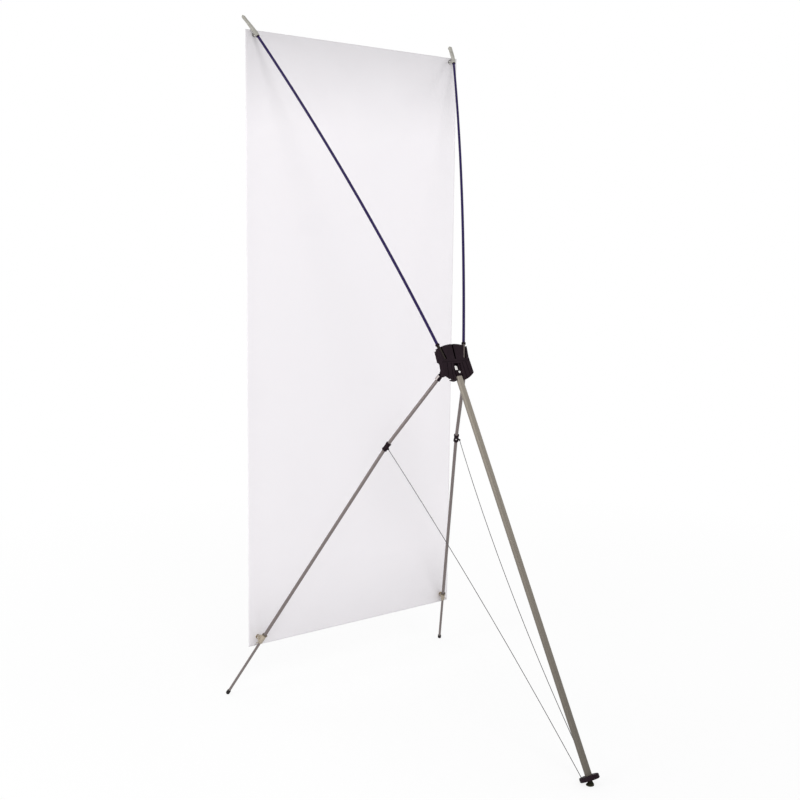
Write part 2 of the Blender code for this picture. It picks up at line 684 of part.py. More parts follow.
def build_foot_cap(name, side, slide, lower, top, floor_of_bore):
    """Rounded end cap, cut flat where it stands on the ground."""
    down = lower.to_3x3() @ Vector((0.0, 0.0, 1.0))
    rise = -down.z
    length = (at(FRONT_FOOT, side) - lower.translation).length
    centre = length - (FOOT_CAP_RADIUS - FOOT_CAP_SINK) / rise
    profile = [(0.0, centre + FOOT_CAP_RADIUS)]
    for index in range(1, 6):
        angle = math.pi / 2 * (1 - index / 6)
        profile.append((FOOT_CAP_RADIUS * math.cos(angle), centre + FOOT_CAP_RADIUS * math.sin(angle)))
    profile += [(FOOT_CAP_RADIUS, centre), (FOOT_CAP_RADIUS - 0.0005, top + 0.0006),
                (FOOT_CAP_RADIUS - 0.0010, top), (INNER_TUBE + GAP, top),
                (INNER_TUBE + GAP, floor_of_bore), (0.0, floor_of_bore)]
    cap = turned(f"front_foot_cap_{name}", profile, RUBBER, slide, Matrix.Identity(4), steps=16)
    ground = block("ground", (-0.03, -0.03, -0.03), (0.03, 0.03, 0.0))
    world_foot = Matrix.Translation(at(FRONT_FOOT, side))
    boolean(cap, "DIFFERENCE", ground, lower.inverted() @ world_foot)
    return cap


def stay_ends(side):
    """Both ends of a stay: at the clip's post and on the rear foot's flange."""
    _, clip, _ = front_leg_frames(side)
    rear = rear_leg_frame()
    length = (at(REAR_FOOT) - at(REAR_PIVOT)).length
    anchor = rear @ Vector((-side * ANCHOR[0], ANCHOR[1], length - FLANGE_UP - FLANGE_HALF - 0.0006))
    along = clip.to_3x3() @ Vector((0.0, 0.0, 1.0))
    lean = Vector((CLIP_POST_LEAN[0] * side, CLIP_POST_LEAN[1], CLIP_POST_LEAN[2]))
    outward = (lean - lean.dot(along) * along).normalized()
    return clip.translation + outward * CLIP_POST, anchor, outward


def stay_point(side, t):
    """Point of a stay at the fraction t from the clip to the rear foot."""
    start, anchor, _ = stay_ends(side)
    bow = Vector((STAY_BOW[0] * side, STAY_BOW[1], STAY_BOW[2]))
    return start.lerp(anchor, t) + bow * (4 * t * (1 - t))


def build_stay_clip(name, side, axis, matrix):
    """Collar on the tube with a knobbed post for the stay, and its rivet."""
    clip_world = axis.matrix_local @ matrix
    _, _, outward = stay_ends(side)
    half = CLIP_HALF_LENGTH
    profile = [(OUTER_TUBE + GAP, half), (CLIP_RADIUS - 0.0006, half), (CLIP_RADIUS, half - 0.0006),
               (CLIP_RADIUS, half - 0.0050), (CLIP_RADIUS - 0.0008, half - 0.0058),
               (CLIP_RADIUS - 0.0008, 0.0058 - half), (CLIP_RADIUS, 0.0050 - half),
               (CLIP_RADIUS, 0.0006 - half), (CLIP_RADIUS - 0.0006, -half), (OUTER_TUBE + GAP, -half)]
    clip = turned(f"stay_clip_{name}", profile, BLACK_PLASTIC, axis, matrix, ring=True, steps=18)
    to_axis = axis.matrix_local.inverted()
    along = clip_world.to_3x3() @ Vector((0.0, 0.0, 1.0))
    post = to_axis @ frame(clip_world.translation, outward, along)
    lug = cylinder("lug", 0.0034, OUTER_TUBE + 0.0012, CLIP_POST - 0.0020, 16, 0.0020)
    boolean(clip, "UNION", lug, post)
    boolean(clip, "UNION", ball("knob", CLIP_KNOB, (0.0, 0.0, CLIP_POST)), post)
    start = stay_point(side, 0.0)
    pull = stay_point(side, 0.01) - start
    grip = cylinder("cord_hole", STAY_RADIUS + GAP, -0.0006, 0.0080, 14)
    boolean(clip, "DIFFERENCE", grip, to_axis @ frame(start, pull, along))
    towards = Vector((-side * 0.63, 0.77, 0.13))
    inward = (towards - towards.dot(along) * along).normalized()
    seat = CLIP_RADIUS - 0.0008
    rivet = to_axis @ frame(clip_world.translation, inward, along)
    boolean(clip, "DIFFERENCE", cylinder("rivet_hole", 0.0015, seat - 0.0012, seat + 0.01, 12), rivet)
    turned(f"stay_clip_rivet_{name}",
           [(0.0, seat + 0.0013), (0.0016, seat + 0.0010), (0.0024, seat + GAP), (0.0012, seat + GAP),
            (0.0012, seat - 0.0008), (0.0, seat - 0.0008)], STEEL, axis, rivet, steps=12)
    return clip


def build_banner_hook(name, side, axis, local, hook):
    """Stepped sleeve on the tube's end with a fin, a toe and an eyelet peg, and its ring."""
    eyelet = at(dict(eyelet_points())["bottom"], side)
    reach = (eyelet - hook.translation).length
    profile = [(INNER_TUBE + GAP, HOOK_DOWN), (0.0054, HOOK_DOWN), (0.0060, HOOK_DOWN - 0.0012),
               (HOOK_RADIUS, -HOOK_STEP - 0.006), (HOOK_RADIUS, -HOOK_UP),
               (OUTER_TUBE + GAP, -HOOK_UP), (OUTER_TUBE + GAP, -HOOK_STEP), (INNER_TUBE + GAP, -HOOK_STEP)]
    fitting = turned(f"banner_hook_{name}", profile, BEIGE_PLASTIC, axis, local @ hook, ring=True, steps=20)
    fin_outline = [(0.0057, -HOOK_UP + 0.0015), (reach - 0.0045, -0.0100)]
    fin_outline += arc_rise((reach - 0.002, -0.0080), (reach - 0.001, 0.0010), 0.0030, 6)
    fin_outline += [(0.0088, HOOK_DOWN - 0.0015), (0.0050, HOOK_DOWN - 0.0010)]
    fin = plate("fin", [fin_outline], 0.0024)
    boolean(fitting, "UNION", fin, local @ hook @ turn("X", 90.0))
    along = hook.to_3x3() @ Vector((0.0, 0.0, 1.0))
    outboard = Vector((side, 0.0, 0.0))
    outboard = (outboard - outboard.dot(along) * along).normalized()
    toe_start = hook @ Vector((0.0, 0.0, 0.0035)) + outboard * 0.0062
    toe = frame(toe_start, outboard + along * 1.1, along)
    boolean(fitting, "UNION", cylinder("toe", 0.0021, -0.0002, 0.0095, 12, 0.0016), local @ toe)
    in_front = block("banner_room", (-0.03, -0.03, -0.03), (0.03, 0.0, 0.03))
    room = Matrix.Translation(Vector((eyelet.x, BANNER_Y + PEG_CLEAR, eyelet.z)))
    boolean(fitting, "DIFFERENCE", in_front, local @ room)
    arm_start = hook @ Vector((0.0092, 0.0, -0.0022))
    add_peg(fitting, eyelet, arm_start, local)
    ring_low = -HOOK_UP - GAP
    ring_high = ring_low - HOOK_RING_LENGTH
    turned(f"hook_ring_{name}",
           [(OUTER_TUBE + GAP, ring_low), (HOOK_RING - 0.0005, ring_low), (HOOK_RING, ring_low - 0.0005),
            (HOOK_RING, ring_high + 0.0008), (HOOK_RING - 0.0008, ring_high), (OUTER_TUBE + GAP, ring_high)],
           RUBBER, axis, local @ hook, ring=True, steps=18)
    return fitting


def rear_leg_frame():
    """Frame of the rear leg: X on its hinge, Y to its rear side, Z down it."""
    pivot = at(REAR_PIVOT)
    return frame(pivot, at(REAR_FOOT) - pivot, Vector((-1.0, 0.0, 0.0)))


def build_rear_leg():
    """Rear leg: knuckle with its stop tongue and rivet, pin, flat-oval tube and foot."""
    rear = rear_leg_frame()
    axis = empty("rear_leg_axis", rear)
    half_x, half_y = REAR_TUBE_HALF
    plug = stadium(half_x - REAR_TUBE_WALL - GAP, half_y - REAR_TUBE_WALL - GAP)
    knuckle = place("rear_leg_knuckle", plate("rear_leg_knuckle", [plug], 0.013),
                    BLACK_PLASTIC, axis, Matrix.Translation((0.0, 0.0, 0.0220)))
    boolean(knuckle, "UNION", plate("rear_neck", [stadium(0.0076, 0.0050)], 0.0046),
            Matrix.Translation((0.0, 0.0, 0.0046)))
    boolean(knuckle, "UNION", plate("shoulder", [stadium(half_x, half_y)], 0.0011),
            Matrix.Translation((0.0, 0.0, REAR_TUBE_START - GAP - 0.0011)))
    boolean(knuckle, "UNION", cylinder("rear_eye", REAR_EYE_RADIUS, -REAR_EYE_HALF_WIDTH,
                                       REAR_EYE_HALF_WIDTH, 26), turn("Y", 90.0))
    boolean(knuckle, "DIFFERENCE", cylinder("rear_eye_hole", REAR_PIN_RADIUS + GAP, -0.03, 0.03, 20),
            turn("Y", 90.0))
    slot_half = TONGUE_THICKNESS / 2 + GAP
    boolean(knuckle, "DIFFERENCE", block("tongue_slot", (-TONGUE_WIDTH / 2 - GAP, -slot_half, -0.03),
                                         (TONGUE_WIDTH / 2 + GAP, slot_half, -0.0042)))
    tongue = place("rear_leg_stop_tongue",
                   block("rear_leg_stop_tongue", (-TONGUE_WIDTH / 2, -TONGUE_THICKNESS / 2, -TONGUE_LENGTH),
                         (TONGUE_WIDTH / 2, TONGUE_THICKNESS / 2, -0.0045)),
                   STEEL, axis, Matrix.Identity(4))
    bevel(tongue, 0.0004, 1)
    pin("rear_leg_pin", REAR_PIN_RADIUS, REAR_PIN_HEAD, REAR_EAR[1], axis, Matrix.Identity(4))
    backwards = turn("X", -90.0)
    seat = REAR_EYE_RADIUS
    rivet_hole = cylinder("rivet_hole", REAR_RIVET_SHANK + GAP, 0.0037, 0.02, 16)
    boolean(knuckle, "DIFFERENCE", rivet_hole, backwards)
    turned("rear_leg_rivet",
           [(0.0, seat + 0.0024), (0.0019, seat + 0.0020), (0.0034, seat + 0.0011),
            (REAR_RIVET_HEAD, seat + GAP), (REAR_RIVET_SHANK, seat + GAP), (REAR_RIVET_SHANK, 0.0042),
            (0.0, 0.0042)],
           STEEL, axis, backwards, steps=20)

    length = (at(REAR_FOOT) - at(REAR_PIVOT)).length
    flange_middle = length - FLANGE_UP
    tube_end = flange_middle + 0.0003
    outer = stadium(half_x, half_y)
    inner = stadium(half_x - REAR_TUBE_WALL, half_y - REAR_TUBE_WALL)
    place("rear_leg_tube", plate("rear_leg_tube", [outer, inner], (tube_end - REAR_TUBE_START) / 2),
          TUBE_METAL, axis, Matrix.Translation((0.0, 0.0, (tube_end + REAR_TUBE_START) / 2)))
    build_rear_foot(axis, rear, length, flange_middle)
    return axis


def build_rear_foot(axis, rear, length, middle):
    """Round flange that the tube stands in, and an upright rubber stub flat on the ground."""
    high = middle - FLANGE_HALF
    low = middle + FLANGE_HALF
    rim = FLANGE_RADIUS
    profile = [(0.0, low), (rim - 0.0014, low), (rim, low - 0.0014), (rim, high + 0.0020),
               (rim - 0.0012, high + 0.0006), (rim - 0.0030, high), (0.0, high)]
    flange = turned("rear_foot_flange", profile, BLACK_PLASTIC, axis, Matrix.Identity(4), steps=32)
    half_x, half_y = REAR_TUBE_HALF
    seat = plate("tube_seat", [stadium(half_x + GAP, half_y + GAP)], 0.01)
    boolean(flange, "DIFFERENCE", seat, Matrix.Translation((0.0, 0.0, middle + 2 * GAP - 0.01)))
    spigot = cylinder("spigot_hole", 0.0063, low - 0.0030, low + 0.01, 20)
    boolean(flange, "DIFFERENCE", spigot)
    for _, side in SIDES:
        hole = cylinder("anchor_hole", ANCHOR_HOLE, high - 0.01, low + 0.01, 12)
        boolean(flange, "DIFFERENCE", hole, Matrix.Translation((-side * ANCHOR[0], ANCHOR[1], 0.0)))
    sole = rear @ Vector((0.0, 0.0, low))
    height = sole.z + 0.02
    sole.z = 0.0
    stub = cylinder("rear_foot_tip", REAR_TIP_RADIUS[0], 0.0, height, 26, REAR_TIP_RADIUS[1])
    tip = place("rear_foot_tip", stub, RUBBER, axis, rear.inverted() @ Matrix.Translation(sole))
    above = block("above_sole", (-0.05, -0.05, low - 0.08), (0.05, 0.05, low + GAP))
    boolean(tip, "DIFFERENCE", above)
    boolean(tip, "UNION", cylinder("spigot", 0.0060, low - 0.0030 + GAP, low + 0.0020, 20))


def rod_route(side):
    """Sprung line of a rod from its socket to the tip, and its direction at the tip."""
    socket = rod_frame(side)
    up = socket.to_3x3() @ Vector((0.0, 0.0, 1.0))
    base = socket.translation
    junction = at(ROD_JUNCTION, side)
    control = base + up * ((junction - base).length * 0.505)
    end_direction = (junction - control).normalized()
    foot = base - up * (FERRULE_LENGTH - 0.0027)
    points = [foot] + bezier(base, control, junction, 14) + [junction + end_direction * 0.016]
    return points, end_direction


def build_rod(name, side):
    """Upper rod with its ferrule, collar and hooked tip."""
    socket = rod_frame(side)
    axis = empty(f"upper_rod_{name}_axis", socket)
    local = socket.inverted()
    points, end_direction = rod_route(side)
    count = len(points)
    radii = [ROD_RADIUS + (ROD_TIP_RADIUS - ROD_RADIUS) * index / (count - 1) for index in range(count)]
    curve = tube_curve(f"upper_rod_{name}", [local @ p for p in points], ROD_RADIUS, 4, radii)
    place(f"upper_rod_{name}", curve, ROD_RESIN, axis, Matrix.Identity(4))
    bore = ROD_RADIUS + GAP
    turned(f"rod_ferrule_{name}",
           [(0.0, 0.0024 - FERRULE_LENGTH), (bore, 0.0024 - FERRULE_LENGTH), (bore, 0.0008),
            (FERRULE_RADIUS, 0.0008), (FERRULE_RADIUS, 0.001 - FERRULE_LENGTH),
            (FERRULE_RADIUS - 0.001, -FERRULE_LENGTH), (0.0, -FERRULE_LENGTH)],
           STEEL, axis, Matrix.Identity(4))
    turned(f"rod_collar_{name}",
           [(bore, 0.0080), (COLLAR_RADIUS - 0.0012, 0.0080), (COLLAR_RADIUS, 0.0066),
            (COLLAR_RADIUS, 0.0018), (COLLAR_RADIUS - 0.0008, 0.0011), (bore, 0.0011)],
           BLACK_PLASTIC, axis, Matrix.Identity(4), ring=True, steps=18)
    build_rod_tip(name, side, axis, local, end_direction)
    return axis


def build_rod_tip(name, side, axis, local, direction):
    """Moulded tip: a bulged sleeve that tapers to a curled beak, with a peg for the eyelet."""
    junction = at(ROD_JUNCTION, side)
    end = at(ROD_TIP_END, side)
    spine = bezier(junction, junction + direction * 0.043, end, 9)
    beak = (spine[-1] - spine[-2]).normalized()
    across = Vector((side, -0.6, -0.5))
    across = (across - across.dot(beak) * beak).normalized()
    for step in range(1, 6):
        angle = math.radians(30.0 * step)
        spine.append(end + beak * (TIP_CURL * math.sin(angle)) + across * (TIP_CURL * (1 - math.cos(angle))))
    radii = [0.0047, 0.0059, 0.0066, 0.0061, 0.0056, 0.0052, 0.0048, 0.0045, 0.0041, 0.0036]
    radii += [0.0031, 0.0028, 0.0026, 0.0024, 0.0017]
    mesh = tube_mesh(f"rod_tip_{name}", [local @ p for p in spine], 0.0066, 4, radii)
    tip = place(f"rod_tip_{name}", mesh, GREY_PLASTIC, axis, Matrix.Identity(4))
    eyelet = at(dict(eyelet_points())["top"], side)
    add_peg(tip, eyelet, junction + direction * 0.0060, local)
    bore = frame(junction, direction, Vector((0.0, 0.0, 1.0)))
    boolean(tip, "DIFFERENCE", cylinder("rod_bore", ROD_TIP_RADIUS + 2 * GAP, -0.01, 0.0164, 20),
            local @ bore)


def build_banner():
    """Banner sheet with its four eyelets."""
    axis = empty("banner_axis", Matrix.Translation((0.0, BANNER_Y, 0.0)))
    half = BANNER_WIDTH / 2
    low = BANNER_BOTTOM
    high = BANNER_BOTTOM + BANNER_HEIGHT
    outlines = [[(half, low), (half, high), (-half, high), (-half, low)]]
    for name, side in SIDES:
        for corner, point in eyelet_points():
            place_of = (side * point[0], point[2])
            outlines.append(circle(place_of, EYELET_BARREL + GAP, 16))
            far = BANNER_THICKNESS / 2 + GAP + EYELET_RIM_THICKNESS
            near = BANNER_THICKNESS / 2 + GAP
            profile = [(EYELET_BORE, far), (EYELET_RIM - 0.0003, far), (EYELET_RIM, near),
                       (EYELET_BARREL, near), (EYELET_BARREL, -near), (EYELET_RIM, -near),
                       (EYELET_RIM - 0.0003, -far), (EYELET_BORE, -far)]
            turned(f"eyelet_{corner}_{name}", profile, BRASS, axis,
                   turn("X", 90.0, (place_of[0], 0.0, place_of[1])), ring=True, steps=16)
    sheet = plate("banner_sheet", outlines, BANNER_THICKNESS / 2)
    place("banner_sheet", sheet, SHEET, axis, turn("X", 90.0))
    return axis


def build_stay(name, side):
    """Stay cord from the front leg's clip to the rear foot, with its slight bow."""
    count = 40
    points = [stay_point(side, index / count) for index in range(count + 1)]
    curve = tube_curve(f"stay_cord_{name}", points, STAY_RADIUS, 2)
    place(f"stay_cord_{name}", curve, CORD, None, Matrix.Identity(4))


def main():
    """Build every sub-part."""
    hub = empty("hub_axis", hub_matrix())
    build_rear_cover(hub)
    build_front_cover(hub)
    build_spider(hub)
    build_hub_screws(hub)
    build_rear_leg()
    build_banner()
    for name, side in SIDES:
        build_front_leg(name, side)
        build_rod(name, side)
        build_stay(name, side)


main()
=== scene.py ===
"""Looks of the tripod banner stand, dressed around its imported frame.

A banner hangs between two sprung upper rods and two telescoping front legs. A rear
leg props the hub, and two stay cords tie the front legs to the rear foot. Metres,
+Z up, the banner's printed face looks along -Y and its back is seen from +Y.
"""

from __future__ import annotations

import logging
import math
from dataclasses import dataclass
from enum import Enum

import bmesh
import bpy
from mathutils import Matrix, Vector

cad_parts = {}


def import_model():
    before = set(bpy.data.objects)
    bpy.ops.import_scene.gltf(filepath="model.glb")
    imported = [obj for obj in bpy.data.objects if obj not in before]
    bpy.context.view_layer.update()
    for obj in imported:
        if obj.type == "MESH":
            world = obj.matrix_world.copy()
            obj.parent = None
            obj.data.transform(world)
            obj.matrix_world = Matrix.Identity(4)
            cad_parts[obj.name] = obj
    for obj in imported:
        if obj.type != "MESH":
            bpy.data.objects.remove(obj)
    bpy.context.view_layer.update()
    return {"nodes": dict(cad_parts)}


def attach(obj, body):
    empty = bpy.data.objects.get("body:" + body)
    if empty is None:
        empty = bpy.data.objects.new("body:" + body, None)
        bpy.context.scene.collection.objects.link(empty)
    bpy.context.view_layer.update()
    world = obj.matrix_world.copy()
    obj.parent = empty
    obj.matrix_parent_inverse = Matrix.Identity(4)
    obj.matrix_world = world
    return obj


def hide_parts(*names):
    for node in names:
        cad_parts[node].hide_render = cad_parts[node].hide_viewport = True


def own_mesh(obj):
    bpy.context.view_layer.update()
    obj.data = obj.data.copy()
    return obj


LOG = logging.getLogger("banner_stand")

BANNER_Y = -0.4808
IMAGE_PIXELS = 800
SENSOR_MM = 36.0
SHARP_ANGLE = math.radians(38)

Pair = tuple[float, float]
Triple = tuple[float, float, float]
Profile = tuple[Pair, ...]
Rings = list[list[Vector]]
Inputs = dict[str | int, object]
Socket = bpy.types.NodeSocket
Material = bpy.types.Material
Mesh = bpy.types.Mesh
Piece = bpy.types.Object


class Side(Enum):
    """The two sides of the stand as seen from behind, with the sign of their x."""

    LEFT = 1.0
    RIGHT = -1.0

    @property
    def label(self) -> str:
        """Name used at the end of piece names."""
        return self.name.lower()


class Boolean(Enum):
    """What a tool mesh does to a closed mesh."""

    JOIN = "UNION"
    CUT = "DIFFERENCE"


def at(x: float, depth: float, z: float, side: Side = Side.LEFT) -> Vector:
    """Point given by its distance outwards, its depth behind the banner and its height."""
    return Vector((x * side.value, BANNER_Y + depth, z))


def mirrored(direction: Triple, side: Side) -> Vector:
    """Direction given for the left side, on its own side of the stand."""
    return Vector((direction[0] * side.value, *direction[1:]))


def pair(*stems: str) -> list[str]:
    """Names of the left and right nodes of each stem."""
    return [f"{stem}_{side.label}" for stem in stems for side in Side]


def lay(tree: bpy.types.NodeTree, kind: str, inputs: Inputs | None = None, **settings: object) -> bpy.types.Node:
    """Add a node to a tree.

    Args:
        tree: node tree of a material, a world or a geometry.
        kind: the node's type.
        inputs: the node's inputs by name or number, each a socket to link or a value.
        settings: the node's plain settings.

    Returns:
        The new node.
    """
    node = tree.nodes.new(kind)
    for key, value in settings.items():
        setattr(node, key, value)
    for key, value in (inputs or {}).items():
        if isinstance(value, Socket):
            tree.links.new(value, node.inputs[key])
        else:
            node.inputs[key].default_value = value
    return node


# Materials


class NodeSheet:
    """Short hand for laying out one material's nodes."""

    def __init__(self, name: str) -> None:
        """Start a material with a Principled shader and its output.

        Args:
            name: the material's name.
        """
        self.material = bpy.data.materials.new(name)
        self.material.use_nodes = True
        self.tree = self.material.node_tree
        self.shader = self.tree.nodes["Principled BSDF"]

    def add(self, kind: str, inputs: Inputs | None = None, **settings: object) -> bpy.types.Node:
        """New node of the material."""
        return lay(self.tree, kind, inputs, **settings)

    def place(self, scale: Triple = (1.0, 1.0, 1.0), turn: Triple = (0, 0, 0), source: str = "Object") -> Socket:
        """Coordinates turned into a piece's own axes and divided by a grain size in metres."""
        plain = {"Vector": self.add("ShaderNodeTexCoord").outputs[source], "Rotation": turn, "Scale": scale}
        return self.add("ShaderNodeMapping", plain, vector_type="TEXTURE").outputs["Vector"]

    def split(self, vector: Socket) -> bpy.types.NodeOutputs:
        """The X, Y and Z of a vector."""
        return self.add("ShaderNodeSeparateXYZ", {"Vector": vector}).outputs

    def height(self) -> Socket:
        """Height over the floor."""
        return self.split(self.add("ShaderNodeTexCoord").outputs["Object"])["Z"]

    def noise(self, vector: Socket, scale: float = 1.0, detail: float = 3.0, roughness: float = 0.55) -> Socket:
        """Noise factor over a vector."""
        values = {"Vector": vector, "Scale": scale, "Detail": detail, "Roughness": roughness}
        return self.add("ShaderNodeTexNoise", values).outputs["Fac"]

    def ramp(self, factor: Socket, *stops: tuple[float, Triple]) -> Socket:
        """Colour that follows a factor.

        Args:
            factor: the number that picks the colour.
            stops: places on the ramp with their colours.

        Returns:
            The colour.
        """
        node = self.add("ShaderNodeValToRGB", {"Fac": factor})
        elements = node.color_ramp.elements
        while len(elements) < len(stops):
            elements.new(0.5)
        for element, (position, colour) in zip(elements, stops):
            element.position = position
            element.color = (*colour, 1.0)
        return node.outputs["Color"]

    def tones(self, factor: Socket, colour: Triple, *stops: Pair) -> Socket:
        """Ramp of one colour made darker or lighter, from places on the ramp with their factors."""
        return self.ramp(factor, *((position, shade(colour, tone)) for position, tone in stops))

    def toned(self, colour: Socket, factor: Socket) -> Socket:
        """Colour times a number."""
        values = {0: colour, "Scale": factor}
        return self.add("ShaderNodeVectorMath", values, operation="SCALE").outputs["Vector"]

    def spread(self, factor: Socket, low: float, high: float, start: float = 0.3, end: float = 0.7) -> Socket:
        """Number between low and high as the factor goes from start to end."""
        values = {"Value": factor, "From Min": start, "From Max": end, "To Min": low, "To Max": high}
        return self.add("ShaderNodeMapRange", values).outputs["Result"]

    def math(self, operation: str, first: object, second: object = 0.0) -> Socket:
        """Result of a math node whose inputs are sockets or numbers."""
        return self.add("ShaderNodeMath", {0: first, 1: second}, operation=operation).outputs["Value"]

    def bump(self, height: Socket, distance: float, strength: float = 1.0) -> Socket:
        """Bumped normal."""
        values = {"Height": height, "Distance": distance, "Strength": strength}
        return self.add("ShaderNodeBump", values).outputs["Normal"]

    def set(self, **values: object) -> None:
        """Constants of the shader, set on its own sockets."""
        for key, value in values.items():
            self.shader.inputs[key.replace("_", " ").title().replace("Ior", "IOR")].default_value = value

    def finish(self, colour: Socket, roughness: Socket, normal: Socket, **constants: object) -> Material:
        """Wire the shader.

        Args:
            colour: the base colour.
            roughness: the roughness.
            normal: the bumped normal.
            constants: values set on the shader's own sockets.

        Returns:
            The finished material.
        """
        for name, source in (("Base Color", colour), ("Roughness", roughness), ("Normal", normal)):
            self.tree.links.new(source, self.shader.inputs[name])
        self.set(**constants)
        return self.material


def shade(colour: Triple, factor: float) -> Triple:
    """Colour made lighter or darker by a factor, kept under 1."""
    return tuple(min(1.0, channel * factor) for channel in colour)


def axis_turn(direction: Triple) -> Triple:
    """Euler angles that carry +Z onto a direction."""
    return tuple(Vector(direction).to_track_quat("Z", "Y").to_euler())


@dataclass(frozen=True)
class MouldedPlastic:
    """Injection moulded plastic with a fine spark grain, faint handling marks and, where set, painted shade in its
    grooves.
    """

    name: str
    colour: Triple
    roughness: float
    marks: float = 0.20
    gloss: float = 0.30
    groove_reach: float = 0.0
    groove_tone: Pair = (0.12, 1.0)
    groove_open: Pair = (0.45, 0.92)
    groove_samples: int = 12
    grain: float = 0.0005
    grain_height: float = 0.00003
    clouds_per_metre: float = 38.0
    rub_size: Triple = (0.006, 0.006, 0.030)

    def build(self) -> Material:
        """Lay out the plastic.

        Returns:
            The plastic as a material.
        """
        sheet = NodeSheet(self.name)
        space = sheet.place()
        rubbed = sheet.noise(sheet.place(self.rub_size), 1.0, 5.0, 0.65)
        base = sheet.tones(sheet.noise(space, self.clouds_per_metre, 4.0), self.colour, (0.30, 0.84), (0.52, 1.0),
                           (0.74, 1.0 + self.marks))
        # Painted shade: ambient occlusion darkens the colour in the grooves and hollows.
        if self.groove_reach > 0.0:
            hollow = sheet.add("ShaderNodeAmbientOcclusion", {"Distance": self.groove_reach},
                               samples=self.groove_samples, only_local=True)
            base = sheet.toned(base, sheet.spread(hollow.outputs["AO"], *self.groove_tone, *self.groove_open))
        return sheet.finish(base, sheet.spread(rubbed, self.roughness - 0.07, self.roughness + 0.09),
                            sheet.bump(sheet.noise(space, 1.0 / self.grain, 2.0), self.grain_height),
                            specular_ior_level=self.gloss)


@dataclass(frozen=True)
class AnodisedTube:
    """Drawn aluminium with fine lengthwise lines under a champagne anodised skin, and painted light that can scale
    its colour by height.
    """

    name: str
    colour: Triple
    direction: Triple
    roughness: float = 0.50
    # Painted light: the colour's factor at the low and at the high height below.
    tone: Pair = (1.0, 1.0)
    tone_heights: Pair = (0.05, 1.0)
    line_size: Triple = (0.00035, 0.00035, 0.060)
    line_depth: float = 0.000015
    blotch_size: Triple = (0.012, 0.012, 0.070)

    def build(self) -> Material:
        """Lay out the tube's finish.

        Returns:
            The finish as a material.
        """
        sheet = NodeSheet(self.name)
        turn = axis_turn(self.direction)
        lines = sheet.noise(sheet.place(self.line_size, turn))
        blotch = sheet.noise(sheet.place(self.blotch_size, turn), 1.0, 4.0)
        base = sheet.tones(blotch, self.colour, (0.28, 0.93), (0.55, 1.0), (0.80, 1.05))
        rough = sheet.math("ADD", sheet.spread(blotch, -0.04, 0.05),
                           sheet.spread(lines, self.roughness - 0.08, self.roughness + 0.08))
        # Painted light: the colour grows darker or lighter with height, as light falls along the tube.
        tone = sheet.spread(sheet.height(), *self.tone, *self.tone_heights)
        return sheet.finish(sheet.toned(base, tone), rough, sheet.bump(lines, self.line_depth, 0.6),
                            metallic=0.55, specular_ior_level=0.30)


@dataclass(frozen=True)
class LacqueredRod:
    """Dark navy fibreglass rod: long glass strands seen through a glossy lacquer."""

    name: str
    colour: Triple
    direction: Triple
    strand_size: Triple = (0.0006, 0.0006, 0.090)
    strand_depth: float = 0.00002
    cloud_size: Triple = (0.03, 0.03, 0.14)

    def build(self) -> Material:
        """Lay out the rod's finish.

        Returns:
            The finish as a material.
        """
        sheet = NodeSheet(self.name)
        turn = axis_turn(self.direction)
        strands = sheet.noise(sheet.place(self.strand_size, turn))
        base = sheet.tones(strands, self.colour, (0.30, 0.70), (0.55, 1.0), (0.78, 1.55))
        cloud = sheet.noise(sheet.place(self.cloud_size, turn), 1.0, 2.0)
        return sheet.finish(base, sheet.spread(cloud, 0.30, 0.42), sheet.bump(strands, self.strand_depth, 0.35),
                            specular_ior_level=0.07, coat_weight=0.06, coat_roughness=0.16)


@dataclass(frozen=True)
class PlatedMetal:
    """Plated metal with faint turning marks and dull patches."""

    name: str
    colour: Triple
    roughness: float = 0.26
    patches_per_metre: float = 160.0
    scratch_size: Triple = (0.0004, 0.004, 0.0004)
    scratch_depth: float = 0.00001

    def build(self) -> Material:
        """Lay out the plating.

        Returns:
            The plating as a material.
        """
        sheet = NodeSheet(self.name)
        patch = sheet.noise(sheet.place(), self.patches_per_metre, 4.0)
        scratch = sheet.noise(sheet.place(self.scratch_size), 1.0, 2.0)
        return sheet.finish(sheet.tones(patch, self.colour, (0.30, 0.80), (0.65, 1.0)),
                            sheet.spread(patch, self.roughness, self.roughness + 0.16),
                            sheet.bump(scratch, self.scratch_depth, 0.5), metallic=1.0)


@dataclass(frozen=True)
class FloorRubber:
    """Dark moulded rubber, dusty where it meets the floor."""

    name: str
    colour: Triple
    dust_height: float = 0.006
    dust: float = 3.2
    pores_per_metre: float = 1400.0
    pore_depth: float = 0.00004
    specks_per_metre: float = 420.0

    def build(self) -> Material:
        """Lay out the rubber.

        Returns:
            The rubber as a material.
        """
        sheet = NodeSheet(self.name)
        space = sheet.place()
        pores = sheet.noise(space, self.pores_per_metre)
        low = sheet.spread(sheet.height(), 1.0, 0.0, 0.0, self.dust_height)
        dust = sheet.math("MULTIPLY", low, sheet.noise(space, self.specks_per_metre, 4.0))
        return sheet.finish(sheet.tones(dust, self.colour, (0.0, 1.0), (0.7, self.dust)),
                            sheet.spread(pores, 0.62, 0.80), sheet.bump(pores, self.pore_depth, 0.7),
                            specular_ior_level=0.15)


